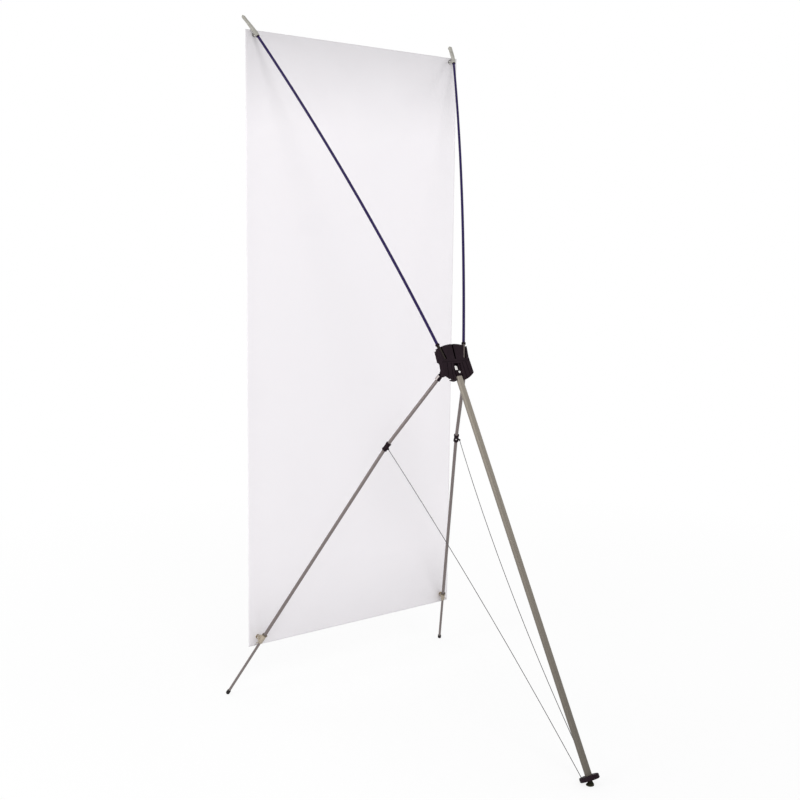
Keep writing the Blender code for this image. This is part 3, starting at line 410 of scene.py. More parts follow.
@dataclass(frozen=True)
class BannerFilm:
    """Matt white banner film: a fine scrim in the face and painted shade that darkens it towards its edges."""

    name: str
    colour: Triple
    edge_colour: Triple
    thread: float = 0.0011
    thread_depth: float = 0.00003
    cloud_size: Triple = (0.22, 0.22, 0.22)

    def build(self) -> Material:
        """Lay out the film over its own UV map, which is in metres.

        Returns:
            The film as a material.
        """
        sheet = NodeSheet(self.name)
        threads = sheet.split(sheet.place((self.thread, self.thread, 1.0), source="UV"))
        across, along_film = (sheet.math("SINE", sheet.math("MULTIPLY", threads[axis], math.tau)) for axis in "XY")
        # Painted shade towards the edges, read from the sheet's points.
        tone = sheet.add("ShaderNodeAttribute", attribute_name="edge_tone").outputs["Fac"]
        cloud = sheet.noise(sheet.place(self.cloud_size))
        mixed = sheet.math("ADD", tone, sheet.spread(cloud, -0.05, 0.05))
        weave = sheet.bump(sheet.math("MAXIMUM", across, along_film), self.thread_depth, 0.25)
        return sheet.finish(sheet.ramp(mixed, (0.02, self.colour), (1.0, self.edge_colour)),
                            sheet.spread(cloud, 0.48, 0.62), weave, sheen_weight=0.05)


@dataclass(frozen=True)
class TwistedYarn:
    """Grey yarn of a laid cord, darker between its fibres."""

    name: str
    colour: Triple
    fibres_per_metre: float = 3200.0
    fibre_depth: float = 0.00008
    worn_per_metre: float = 60.0

    def build(self) -> Material:
        """Lay out the yarn.

        Returns:
            The yarn as a material.
        """
        sheet = NodeSheet(self.name)
        space = sheet.place()
        fibre = sheet.noise(space, self.fibres_per_metre, 2.0)
        worn = sheet.noise(space, self.worn_per_metre)
        return sheet.finish(sheet.tones(fibre, self.colour, (0.25, 0.62), (0.55, 1.0), (0.85, 1.25)),
                            sheet.spread(worn, 0.58, 0.74), sheet.bump(fibre, self.fibre_depth, 0.6),
                            sheen_weight=0.15)


# Meshes


def place_mesh(name: str, mesh: Mesh, finish: Material | None = None) -> Piece:
    """Object at the origin that shows a mesh.

    Args:
        name: name of the object.
        mesh: the mesh, with its place in its points.
        finish: its material, where it has one yet.

    Returns:
        The object, linked to the scene.
    """
    piece = bpy.data.objects.new(name, mesh)
    bpy.context.scene.collection.objects.link(piece)
    if finish is not None:
        mesh.materials.clear()
        mesh.materials.append(finish)
    return piece


def seat(piece: Piece, body: str, slot: str, *replaced: str) -> None:
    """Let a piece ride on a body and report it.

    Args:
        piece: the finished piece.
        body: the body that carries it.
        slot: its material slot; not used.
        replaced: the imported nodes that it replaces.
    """
    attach(piece, body)
    if replaced:
        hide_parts(*replaced)
    LOG.info("%s rides on %s", piece.name, body)


def loft(name: str, rings: Rings, closed: bool = False, sharp: bool = False) -> Mesh:
    """Closed mesh through rings of points.

    Args:
        name: name of the mesh.
        rings: rings with the same number of points.
        closed: join the last ring to the first, as in a hollow ring, and leave out the caps.
        sharp: keep its edges crisp where they turn sharply.

    Returns:
        The mesh, shaded smooth with its faces pointing out.
    """
    bm = bmesh.new()
    loops = [[bm.verts.new(point) for point in ring] for ring in rings]
    pairs = list(zip(loops, loops[1:]))
    if closed:
        pairs.append((loops[-1], loops[0]))
    else:
        bm.faces.new(loops[0])
        bm.faces.new(list(reversed(loops[-1])))
    for first, second in pairs:
        for index in range(len(first)):
            after = (index + 1) % len(first)
            bm.faces.new((first[index], first[after], second[after], second[index]))
    bmesh.ops.recalc_face_normals(bm, faces=bm.faces)
    mesh = bpy.data.meshes.new(name)
    bm.to_mesh(mesh)
    bm.free()
    mesh.shade_smooth()
    if sharp:
        mesh.set_sharp_from_angle(angle=SHARP_ANGLE)
    return mesh


def circle(radius: float, height: float, steps: int) -> list[Vector]:
    """Points of a circle around the Z axis."""
    return [Vector((radius * math.cos(math.tau * i / steps), radius * math.sin(math.tau * i / steps), height))
            for i in range(steps)]


def turned(name: str, profile: Profile | list[Pair], matrix: Matrix, steps: int = 28, **how: bool) -> Mesh:
    """Turned form whose (radius, height) profile stands on the matrix's Z axis, lofted."""
    return loft(name, [[matrix @ point for point in circle(*place, steps)] for place in profile], **how)


def along(start: Vector, direction: Vector) -> Matrix:
    """Matrix at a start whose Z axis runs along a direction."""
    return Matrix.Translation(start) @ direction.to_track_quat("Z", "Y").to_matrix().to_4x4()


def outward_across(direction: Vector, side: Side) -> Vector:
    """Direction to the stand's outer side, square to another direction."""
    outward = Vector((side.value, 0.0, 0.0))
    return (outward - outward.dot(direction) * direction).normalized()


def worked(name: str, mesh: Mesh, tools: list[Mesh], work: Boolean) -> Mesh:
    """Mesh after exact booleans.

    Args:
        name: name of the result.
        mesh: the closed mesh to work on.
        tools: closed meshes that are joined to it or cut out of it.
        work: what the tools do.

    Returns:
        The new mesh.
    """
    base = place_mesh(name, mesh)
    helpers = [place_mesh(tool.name, tool) for tool in tools]
    for helper in helpers:
        step = base.modifiers.new(work.name.lower(), "BOOLEAN")
        step.operation = work.value
        step.solver = "EXACT"
        step.object = helper
    graph = bpy.context.evaluated_depsgraph_get()
    done = bpy.data.meshes.new_from_object(base.evaluated_get(graph))
    for obj in (base, *helpers):
        bpy.data.objects.remove(obj, do_unlink=True)
    done.name = name
    return done


def united(name: str, first: Mesh, *others: Mesh) -> Mesh:
    """One crisp mesh that joins closed meshes where they meet.

    Args:
        name: name of the result.
        first: the closed mesh that the others join.
        others: the other closed meshes.

    Returns:
        The joined mesh.
    """
    done = worked(name, first, list(others), Boolean.JOIN)
    done.set_sharp_from_angle(angle=SHARP_ANGLE)
    return done


def line_object(name: str, points: list[Vector]) -> Piece:
    """Bare curve for a tree to work on.

    Args:
        name: name of the curve.
        points: its points in order.

    Returns:
        The curve's object.
    """
    curve = bpy.data.curves.new(name, "CURVE")
    curve.dimensions = "3D"
    spline = curve.splines.new("POLY")
    spline.points.add(len(points) - 1)
    for point, place in zip(spline.points, points):
        point.co = (*place, 1.0)
    obj = bpy.data.objects.new(name, curve)
    bpy.context.scene.collection.objects.link(obj)
    return obj


# Geometry Nodes


class NodeTree:
    """Short hand for laying out one Geometry Nodes tree with named inputs."""

    def __init__(self, name: str, *numbers: str, **others: str) -> None:
        """Start a tree that takes a geometry, some named inputs and a finish.

        Args:
            name: the tree's name.
            numbers: names of its plain numbers.
            others: kinds of its other inputs, by name.
        """
        self.group = bpy.data.node_groups.new(name, "GeometryNodeTree")
        sockets = self.group.interface.new_socket
        for direction in ("INPUT", "OUTPUT"):
            sockets("Geometry", in_out=direction, socket_type="NodeSocketGeometry")
        kinds = dict.fromkeys(numbers, "NodeSocketFloat") | others | {"Finish": "NodeSocketMaterial"}
        self.sockets = {key: sockets(key, in_out="INPUT", socket_type=kind).identifier
                        for key, kind in kinds.items()}
        self.inputs = self.group.nodes.new("NodeGroupInput")

    def value(self, name: str) -> Socket:
        """Output socket of a named input."""
        return self.inputs.outputs[name]

    def add(self, kind: str, inputs: Inputs | None = None, **settings: object) -> bpy.types.Node:
        """New node of the tree."""
        return lay(self.group, kind, inputs, **settings)

    def resampled(self) -> Socket:
        """The tree's curve with its points one step apart."""
        values = {"Curve": self.value("Geometry"), "Length": self.value("Step")}
        return self.add("GeometryNodeResampleCurve", values, mode="LENGTH").outputs["Curve"]

    def end(self, geometry: Socket) -> None:
        """Close the tree with realised instances and one material.

        Args:
            geometry: the finished geometry.
        """
        real = self.add("GeometryNodeRealizeInstances", {"Geometry": geometry})
        smooth = self.add("GeometryNodeSetShadeSmooth", {"Geometry": real.outputs["Geometry"]})
        dressed = self.add("GeometryNodeSetMaterial", {"Geometry": smooth.outputs["Geometry"],
                                                       "Material": self.value("Finish")})
        self.add("NodeGroupOutput", {0: dressed.outputs["Geometry"]})

    def bake(self, source: Piece, name: str, **values: object) -> Piece:
        """Run the tree on an object and keep the result as a plain mesh.

        Args:
            source: the object that the tree works on; it is removed.
            name: name of the finished piece.
            values: the tree's inputs by name, with underscores for spaces.

        Returns:
            The finished piece at the origin.
        """
        modifier = source.modifiers.new("build", "NODES")
        modifier.node_group = self.group
        for key, value in values.items():
            modifier[self.sockets[key.replace("_", " ")]] = value
        graph = bpy.context.evaluated_depsgraph_get()
        mesh = bpy.data.meshes.new_from_object(source.evaluated_get(graph))
        mesh.name = name
        source.modifiers.remove(modifier)
        bpy.data.objects.remove(source, do_unlink=True)
        return place_mesh(name, mesh)


def laid_cord_tree(strand_count: int = 3) -> NodeTree:
    """Tree that lays strands around a line, twisted at an even pitch.

    Args:
        strand_count: how many strands the cord has.

    Returns:
        The tree.
    """
    tree = NodeTree("laid_cord", "Cord Radius", "Strand Radius", "Turn Per Metre", "Step")
    length = tree.add("GeometryNodeSplineParameter").outputs["Length"]
    tilt = tree.add("ShaderNodeMath", {0: length, 1: tree.value("Turn Per Metre")}, operation="MULTIPLY")
    twisted = tree.add("GeometryNodeSetCurveTilt", {"Curve": tree.resampled(), "Tilt": tilt.outputs["Value"]})
    offset = tree.add("ShaderNodeMath", {0: tree.value("Cord Radius"), 1: tree.value("Strand Radius")},
                      operation="SUBTRACT")
    section = tree.add("GeometryNodeCurvePrimitiveCircle", {"Resolution": 8, "Radius": tree.value("Strand Radius")})
    shift = tree.add("ShaderNodeCombineXYZ", {"X": offset.outputs["Value"]})
    moved = tree.add("GeometryNodeTransform", {"Geometry": section.outputs["Curve"],
                                               "Translation": shift.outputs["Vector"]})
    strands = tree.add("GeometryNodeJoinGeometry")
    for index in range(strand_count):
        strand = tree.add("GeometryNodeTransform", {"Geometry": moved.outputs["Geometry"],
                                                    "Rotation": (0.0, 0.0, math.tau * index / strand_count)})
        tree.group.links.new(strand.outputs["Geometry"], strands.inputs["Geometry"])
    swept = tree.add("GeometryNodeCurveToMesh", {"Curve": twisted.outputs["Curve"],
                                                 "Profile Curve": strands.outputs["Geometry"], "Fill Caps": True})
    tree.end(swept.outputs["Mesh"])
    return tree


def tapered_line_tree() -> NodeTree:
    """Tree that sweeps a round section along a line and thins it towards the end.

    Returns:
        The tree.
    """
    tree = NodeTree("tapered_line", "Start Radius", "End Radius", "Step")
    share = tree.add("GeometryNodeSplineParameter").outputs["Factor"]
    width = tree.add("ShaderNodeMapRange", {"Value": share, "To Min": tree.value("Start Radius"),
                                            "To Max": tree.value("End Radius")})
    section = tree.add("GeometryNodeCurvePrimitiveCircle", {"Resolution": 32, "Radius": 1.0})
    swept = tree.add("GeometryNodeCurveToMesh", {"Curve": tree.resampled(), "Profile Curve": section.outputs["Curve"],
                                                 "Scale": width.outputs["Result"], "Fill Caps": True})
    tree.end(swept.outputs["Mesh"])
    return tree


def seated_screws_tree() -> NodeTree:
    """Tree that sets one screw on every point, turned to the point's own direction.

    Returns:
        The tree.
    """
    tree = NodeTree("seated_screws", Screw="NodeSocketObject")
    screw = tree.add("GeometryNodeObjectInfo", {"Object": tree.value("Screw")}, transform_space="ORIGINAL")
    turn = tree.add("GeometryNodeInputNamedAttribute", {"Name": "turn"}, data_type="FLOAT_VECTOR")
    placed = tree.add("GeometryNodeInstanceOnPoints", {"Points": tree.value("Geometry"),
                                                       "Instance": screw.outputs["Geometry"],
                                                       "Rotation": turn.outputs["Attribute"]})
    tree.end(placed.outputs["Instances"])
    return tree


# Sub-assemblies


@dataclass
class FoldTravel:
    """How the front and rear legs turn as the stand folds."""

    front_pivot: Triple = (0.041, 0.462, 1.015)
    rear_pivot: Triple = (0.0, 0.4775, 1.013)
    front_degrees: float = 33.2
    rear_degrees: float = 28.2
    front_axis: Pair = (0.82656, 0.56284)


@dataclass
class StayCord:
    """One stay: a thin laid cord from the front leg's clip to the rear foot."""

    side: Side
    finish: Material
    clip_end: Triple = (0.13613, 0.33878, 0.79005)
    foot_end: Triple = (0.0155, 0.99994, 0.0186)
    bow: Triple = (-0.019, -0.006, -0.003)
    diameter: float = 0.0022
    strand_share: float = 0.62
    pitch: float = 0.0105
    step: float = 0.0013
    points: int = 48

    def place_at(self, t: float) -> Vector:
        """Point of the cord.

        Args:
            t: the fraction of the way from the clip to the foot.

        Returns:
            The point.
        """
        start, end = at(*self.clip_end, self.side), at(*self.foot_end, self.side)
        return start.lerp(end, t) + mirrored(self.bow, self.side) * (4 * t * (1 - t))

    def route(self) -> list[Vector]:
        """Centreline of the cord."""
        return [self.place_at(index / self.points) for index in range(self.points + 1)]

    def length(self) -> float:
        """Length along the centreline."""
        route = self.route()
        return sum((b - a).length for a, b in zip(route, route[1:]))

    def build(self, tree: NodeTree, folds: FoldTravel) -> None:
        """Args:
            tree: the laid cord tree.
            folds: how far the clip moves while the rear leg folds; not used.
        """
        name = f"laid_stay_cord_{self.side.label}"
        radius = self.diameter / 2
        cord = tree.bake(line_object(name, self.route()), name, Cord_Radius=radius,
                         Strand_Radius=radius * self.strand_share, Turn_Per_Metre=math.tau / self.pitch,
                         Step=self.step, Finish=self.finish)
        seat(cord, "rear_leg", "cord", f"stay_cord_{self.side.label}")
        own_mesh(cord)


@dataclass
class BannerSheet:
    """The white banner, held by an eyelet at each corner."""

    finish: Material
    width: float = 0.790
    height: float = 1.800
    bottom: float = 0.163
    thickness: float = 0.0004
    top_inset: Pair = (0.0290, 0.0130)
    bottom_inset: Pair = (0.0310, 0.0265)
    hole_radius: float = 0.0048
    rim_reach: float = 0.0085
    step: float = 0.010
    edge_step: float = 0.004
    edge_count: int = 11
    pull_height: float = 0.0009
    pull_reach: float = 0.13
    pull_start: float = 0.012
    pull_rise: float = 0.05
    pull_folds: float = 9.0
    pull_phase: float = 0.6
    # Painted shade: how far and how strongly the banner darkens from its top, bottom and sides.
    top_tone_reach: float = 0.26 * 1.15
    low_tone: float = 0.50
    low_tone_reach: float = 0.26
    tone_curve: float = 1.4
    side_tone: float = 0.10
    side_tone_reach: float = 0.08

    def eyelets(self) -> list[Vector]:
        """Centres of the four eyelets.

        Returns:
            Their places in the sheet's own plane.
        """
        low = Vector((self.width / 2 - self.bottom_inset[0], self.bottom + self.bottom_inset[1]))
        high = Vector((self.width / 2 - self.top_inset[0], self.bottom + self.height - self.top_inset[1]))
        return [Vector((side.value * place.x, place.y)) for side in Side for place in (low, high)]

    def pull(self, x: float, z: float) -> float:
        """Depth of the tension folds that fan out from the eyelets.

        Args:
            x: the point's place across the sheet.
            z: the point's height.

        Returns:
            The depth at the point.
        """
        depth = 0.0
        for eyelet in self.eyelets():
            away = Vector((x, z)) - eyelet
            reach = away.length
            if reach < self.pull_start:
                continue
            fade = math.exp(-reach / self.pull_reach) * min(1.0, (reach - self.pull_start) / self.pull_rise)
            fan = math.sin(self.pull_folds * math.atan2(away.y, away.x) + self.pull_phase)
            depth += self.pull_height * fade * fan
        return depth

    def edge_tone(self, x: float, z: float) -> float:
        """Painted shade that grows towards the sheet's edges.

        Args:
            x: the point's place across the sheet.
            z: the point's height.

        Returns:
            The painted shade, from 0 in the middle to 1 at the top edge.
        """
        top, low = self.bottom + self.height - z, z - self.bottom
        upper = max(0.0, 1.0 - top / self.top_tone_reach) ** self.tone_curve
        lower = self.low_tone * max(0.0, 1.0 - low / self.low_tone_reach) ** self.tone_curve
        side = self.side_tone * max(0.0, 1.0 - (self.width / 2 - abs(x)) / self.side_tone_reach)
        return min(1.0, upper + lower + side)

    def stations(self, low: float, high: float) -> list[float]:
        """Grid lines between two edges, closer together beside each edge.

        Args:
            low: the first edge.
            high: the last edge.

        Returns:
            The places of the lines.
        """
        beside = [self.edge_step * index for index in range(self.edge_count)]
        margin = self.edge_step * self.edge_count
        room = high - low - 2 * margin
        count = round(room / self.step)
        middle = [low + margin + room * index / count for index in range(count + 1)]
        return [low + gap for gap in beside] + middle + [high - gap for gap in reversed(beside)]

    def build(self) -> None:
        bm = bmesh.new()
        across = self.stations(-self.width / 2, self.width / 2)
        grid = [[bm.verts.new((x, 0.0, z)) for x in across]
                for z in self.stations(self.bottom, self.bottom + self.height)]
        for lower, upper in zip(grid, grid[1:]):
            for column in range(len(across) - 1):
                bm.faces.new((lower[column], upper[column], upper[column + 1], lower[column + 1]))
        for eyelet in self.eyelets():
            self.punch(bm, eyelet)
        # Painted shade towards the edges, kept on each point for the film's colour.
        tone = bm.verts.layers.float.new("edge_tone")
        for vert in bm.verts:
            vert[tone] = self.edge_tone(vert.co.x, vert.co.z)
            vert.co.y = BANNER_Y + self.pull(vert.co.x, vert.co.z)
        uv = bm.loops.layers.uv.new("film")
        for face in bm.faces:
            for loop in face.loops:
                loop[uv].uv = (loop.vert.co.x, loop.vert.co.z)
        bmesh.ops.recalc_face_normals(bm, faces=bm.faces)
        mesh = bpy.data.meshes.new("banner_film_sheet")
        bm.to_mesh(mesh)
        bm.free()
        mesh.shade_smooth()
        sheet = place_mesh("banner_film_sheet", mesh, self.finish)
        wall = sheet.modifiers.new("thickness", "SOLIDIFY")
        wall.thickness = self.thickness
        wall.offset = 0.0
        seat(sheet, "banner", "banner_film", "banner_sheet")

    def punch(self, bm: bmesh.types.BMesh, eyelet: Vector) -> None:
        """Open a round hole and lead the grid's faces to it.

        Args:
            bm: the flat sheet.
            eyelet: the hole's centre.
        """
        inside = [face for face in bm.faces
                  if (Vector(face.calc_center_median().xz) - eyelet).length < self.rim_reach]
        rim = self.ordered([edge for face in inside for edge in face.edges
                            if sum(f in inside for f in edge.link_faces) == 1])
        bmesh.ops.delete(bm, geom=inside, context="FACES")
        hole = []
        for vert in rim:
            away = (Vector(vert.co.xz) - eyelet).normalized() * self.hole_radius
            hole.append(bm.verts.new((eyelet.x + away.x, 0.0, eyelet.y + away.y)))
        for index in range(len(rim)):
            after = (index + 1) % len(rim)
            bm.faces.new((rim[index], rim[after], hole[after], hole[index]))

    @staticmethod
    def ordered(edges: list[bmesh.types.BMEdge]) -> list[bmesh.types.BMVert]:
        """Follow a closed chain of edges.

        Args:
            edges: the edges in any order.

        Returns:
            Their points in order.
        """
        chain = [edges[0].verts[0], edges[0].verts[1]]
        remaining = set(edges) - {edges[0]}
        while remaining:
            step = next(edge for edge in remaining if chain[-1] in edge.verts)
            remaining.discard(step)
            chain.append(step.other_vert(chain[-1]))
        return chain[:-1]


@dataclass
class UpperRod:
    """A sprung rod that bows from its socket in the hub to its tip."""

    side: Side
    finish: Material
    base: Triple = (0.0475, 0.4472, 1.0877)
    junction: Triple = (0.3667, 0.0195, 1.945)
    socket_direction: Triple = (0.30687, -0.35345, 0.88369)
    straight_share: float = 0.505
    base_radius: float = 0.0042
    tip_radius: float = 0.0037
    sunk: float = 0.0383
    into_tip: float = 0.016
    step: float = 0.012
    points: int = 60

    def control(self) -> Vector:
        """Point that draws the rod's line into its bow.

        Returns:
            The middle point of the rod's quadratic curve.
        """
        base = at(*self.base, self.side)
        up = mirrored(self.socket_direction, self.side).normalized()
        return base + up * ((at(*self.junction, self.side) - base).length * self.straight_share)

    def top(self) -> tuple[Vector, Vector]:
        """Place where the rod enters its tip, and its direction there."""
        junction = at(*self.junction, self.side)
        return junction, (junction - self.control()).normalized()

    def route(self) -> list[Vector]:
        """Centreline of the rod from the foot of its socket into its tip.

        Returns:
            The points in order.
        """
        base, control = at(*self.base, self.side), self.control()
        junction, end_direction = self.top()
        line = [base - (control - base).normalized() * self.sunk]
        for index in range(self.points + 1):
            t = index / self.points
            line.append(base * (1 - t) ** 2 + control * (2 * t * (1 - t)) + junction * t ** 2)
        line.append(junction + end_direction * self.into_tip)
        return line

    def build(self, tree: NodeTree) -> None:
        """Sweep the rod and let it ride.

        Args:
            tree: the tapered line tree.
        """
        name = f"lacquered_rod_{self.side.label}"
        rod = tree.bake(line_object(name, self.route()), name, Start_Radius=self.base_radius,
                        End_Radius=self.tip_radius, Step=self.step, Finish=self.finish)
        seat(rod, f"upper_rod_{self.side.label}", "rod_resin", f"upper_rod_{self.side.label}")


@dataclass
class RodTip:
    """Moulded tip of a rod: a waisted sleeve with a roof-shaped end, a lip and the eyelet's peg."""

    rod: UpperRod
    finish: Material
    # Finish of the dark mouth ring, which is painted shade for the hollow mouth.
    trim: Material
    end: Triple = (0.3872, -0.0245, 2.0010)
    eyelet: Triple = (0.366, 0.0, 1.950)
    run: float = 0.027
    overshoot: float = 0.0032
    bore: Pair = (0.0041, 0.0150)
    widths: Profile = ((0.0, 0.0049), (0.03, 0.0054), (0.16, 0.0061), (0.45, 0.0056), (0.80, 0.0051),
                       (0.930, 0.0055), (0.955, 0.0053), (1.0, 0.0025))
    round_share: float = 0.12
    depth_share: float = 0.88
    groove: float = 0.10
    groove_width: float = 0.30
    head_skew: float = 0.12
    head_start: float = 0.40
    head_rise: float = 0.45
    stations: int = 64
    steps: int = 40
    arm_sunk: float = 0.0060
    arm_setback: float = 0.0067
    arm_waist: float = 0.7
    peg: Profile = ((0.0014, -0.0060), (0.0020, -0.0050), (0.0020, 0.0028), (0.0029, 0.0031), (0.0031, 0.0037),
                    (0.0028, 0.0046), (0.0018, 0.0051), (0.0004, 0.0052))
    lip: Profile = ((0.0022, -0.0012), (0.0024, 0.0030), (0.0019, 0.0054), (0.0010, 0.0066))
    lip_place: float = 0.90
    lip_offset: float = 0.0006
    lip_slope: float = 0.35
    ring_radius: float = 0.0052
    ring_length: float = 0.0030
    ring_gap: float = 0.0002

    def spine(self, t: float) -> Vector:
        """Point on the sleeve's middle line.

        Args:
            t: the fraction of the way from mouth to end.

        Returns:
            The point.
        """
        start, direction = self.rod.top()
        control = start + direction * self.run
        end = at(*self.end, self.rod.side)
        end += (end - control).normalized() * self.overshoot
        return start * (1 - t) ** 2 + control * (2 * t * (1 - t)) + end * t ** 2

    def axes(self, t: float, step: float) -> tuple[Vector, Vector]:
        """Direction of the sleeve around the fraction t, and the outer side square to it."""
        direction = (self.spine(min(1.0, t + step)) - self.spine(max(0.0, t - step))).normalized()
        return direction, outward_across(direction, self.rod.side)

    def half_width(self, t: float) -> float:
        """Half of the sleeve's width, eased between its given widths.

        Args:
            t: the fraction of the way from mouth to end.

        Returns:
            The half width.
        """
        for (low, first), (high, second) in zip(self.widths, self.widths[1:]):
            if t <= high:
                share = (t - low) / (high - low)
                eased = share if high == 1.0 else share * share * (3 - 2 * share)
                return first + (second - first) * eased
        return self.widths[-1][1]

    def reach(self, t: float, angle: float) -> float:
        """Distance from the middle line to the skin of a soft square with a groove behind.

        Args:
            t: the fraction of the way from mouth to end.
            angle: the angle around the middle line, from the outer side.

        Returns:
            The distance.
        """
        soft = (abs(math.cos(angle)) ** 3 + abs(math.sin(angle)) ** 3) ** (-1 / 3)
        reach = self.half_width(t) * (1.0 + (soft - 1.0) * min(1.0, t / self.round_share))
        dip = math.exp(-((angle - math.pi / 2) / self.groove_width) ** 2) * min(1.0, 8 * t * (1 - t) ** 0.5)
        head = min(1.0, max(0.0, (t - self.head_start) / self.head_rise))
        return reach * (1.0 - self.groove * dip) * (1.0 + self.head_skew * head * math.sin(2 * angle))

    def ring(self, t: float, radius: float | None = None) -> list[Vector]:
        """Section of the tip.

        Args:
            t: the fraction of the way from mouth to end.
            radius: radius of a plain circle, as in the bore, in place of the sleeve's skin.

        Returns:
            The points around the section.
        """
        centre = self.spine(t)
        direction, outward = self.axes(t, 0.01)
        behind = direction.cross(outward) * self.rod.side.value
        flat = 1.0 if radius else 1.0 - (1.0 - self.depth_share) * min(1.0, t / self.round_share)
        points = []
        for index in range(self.steps):
            angle = math.tau * index / self.steps
            reach = radius or self.reach(t, angle)
            points.append(centre + outward * (math.cos(angle) * reach) + behind * (math.sin(angle) * reach * flat))
        return points

    def sleeve(self) -> Mesh:
        """The sleeve with its bore.

        Returns:
            One closed skin.
        """
        radius, depth = self.bore
        deep = depth / (self.spine(1.0) - self.spine(0.0)).length
        rings = [self.ring(deep, radius), self.ring(deep * 0.5, radius), self.ring(0.0, radius),
                 self.ring(0.0, (radius + self.half_width(0.0)) / 2)]
        return loft("tip_sleeve", rings + [self.ring(index / self.stations) for index in range(self.stations + 1)])

    def fittings(self) -> list[Mesh]:
        """Lip at the sleeve's end, and the arm with the button-headed peg that holds the sheet's eyelet.

        Returns:
            The closed meshes, which overlap the sleeve and each other.
        """
        direction, outward = self.axes(self.lip_place, 0.02)
        lip = along(self.spine(self.lip_place) + outward * self.lip_offset, outward - direction * self.lip_slope)
        start, direction = self.rod.top()
        start = start + direction * self.arm_sunk
        eyelet = at(*self.eyelet, self.rod.side)
        arm = eyelet + Vector((0.0, self.arm_setback, 0.0)) - start
        length = arm.length
        profile = [(0.0036, 0.0), (0.0040, 0.0012), (0.0034, length * self.arm_waist), (0.0033, length + 0.0012),
                   (0.0026, length + 0.0026), (0.0010, length + 0.0034)]
        return [turned("tip_lip", self.lip, lip), turned("tip_arm", profile, along(start, arm)),
                turned("tip_peg", self.peg, along(eyelet, Vector((0.0, -1.0, 0.0))))]

    def mouth_ring(self) -> Mesh:
        """Dark ring around the rod at the sleeve's mouth, painted shade for the shadow inside the hollow mouth.

        Returns:
            The hollow ring.
        """
        inner, outer, low = self.rod.tip_radius + self.ring_gap, self.ring_radius, -self.ring_length
        profile = [(inner, low), (outer - 0.0005, low), (outer, low + 0.0005), (outer, -0.0004),
                   (outer - 0.0003, -0.0001), (inner, -0.0001)]
        return turned("tip_mouth_ring", profile, along(*self.rod.top()), 40, closed=True, sharp=True)

    def build(self) -> None:
        """Build the tip and the dark ring of painted shade at its mouth, and let them ride on the rod."""
        label = self.rod.side.label
        tip = united("moulded_rod_tip", self.sleeve(), *self.fittings())
        seat(place_mesh(f"moulded_rod_tip_{label}", tip, self.finish), f"upper_rod_{label}", "grey_plastic",
             f"rod_tip_{label}")
        seat(place_mesh(f"tip_mouth_ring_{label}", self.mouth_ring(), self.trim), f"upper_rod_{label}",
             "black_plastic")


@dataclass
class RearStub:
    """Rubber stub under the rear flange, flared towards the floor and flat on it."""

    finish: Material
    sole: Triple = (0.0, 1.01667, 0.0)
    flange_height: float = 0.01285
    leg_direction: Triple = (0.0, -0.47452, 0.88022)
    widths: Profile = ((0.0, 0.0101), (0.04, 0.0106), (0.16, 0.0105), (0.34, 0.0094), (0.56, 0.0073), (0.78, 0.0059),
                       (1.0, 0.0054))
    clearance: float = 0.0002
    spigot: Profile = ((0.0061, -0.0003), (0.0061, 0.0026))
    steps: int = 40

    def ring(self, share: float, radius: float) -> list[Vector]:
        """Section of the flare.

        Args:
            share: its share of the height between the floor and the tilted flange.
            radius: its radius.

        Returns:
            The points around the section.
        """
        slope = -self.leg_direction[1] / self.leg_direction[2]
        return [at(*self.sole) + Vector((p.x, p.y, share * (self.flange_height + slope * p.y - self.clearance)))
                for p in circle(radius, 0.0, self.steps)]

    def build(self) -> None:
        """Build the stub with its spigot and let it ride on the rear leg."""
        flare = loft("stub_flare", [self.ring(share, radius) for share, radius in self.widths])
        top = at(self.sole[0], self.sole[1], self.flange_height)
        spigot = turned("stub_spigot", self.spigot, along(top, Vector(self.leg_direction)))
        stub = place_mesh("flared_rear_stub", united("flared_rear_stub", flare, spigot), self.finish)
        seat(stub, "rear_leg", "foot_rubber", "rear_foot_tip")


@dataclass
class SocketSleeve:
    """Pale half sleeve on the outer side of a front leg's socket."""

    side: Side
    finish: Material
    pivot: Triple = (0.0410, 0.462, 1.015)
    bend: Triple = (0.1332, 0.3266, 0.7957)
    facing: Triple = (0.575, -0.565, 0.591)
    reach: Pair = (0.0120, 0.0272)
    radii: Pair = (0.0077, 0.0084)
    half_angle: float = 78.0
    soft: float = 0.0004
    steps: int = 26

    def ring(self, height: float, outer: float) -> list[Vector]:
        """Section of the half sleeve.

        Args:
            height: its distance from the leg's pivot.
            outer: its outer radius.

        Returns:
            The points of the outer arc and then of the inner one, backwards.
        """
        start = at(*self.pivot, self.side)
        direction = (at(*self.bend, self.side) - start).normalized()
        facing = mirrored(self.facing, self.side)
        facing = (facing - facing.dot(direction) * direction).normalized()
        across = direction.cross(facing)
        angles = [math.radians(self.half_angle) * (2 * index / self.steps - 1) for index in range(self.steps + 1)]
        arc = [facing * math.cos(angle) + across * math.sin(angle) for angle in angles]
        centre = start + direction * height
        return [centre + ray * outer for ray in arc] + [centre + ray * self.radii[0] for ray in reversed(arc)]

    def build(self) -> None:
        """Build the half sleeve and let it ride on the leg."""
        low, high = self.reach
        outer = self.radii[1]
        rings = [self.ring(low, outer - self.soft), self.ring(low + self.soft, outer),
                 self.ring(high - self.soft, outer), self.ring(high, outer - self.soft)]
        label = self.side.label
        seat(place_mesh(f"front_leg_socket_sleeve_{label}", loft("socket_sleeve", rings, sharp=True), self.finish),
             f"front_leg_{label}", "tube_metal")


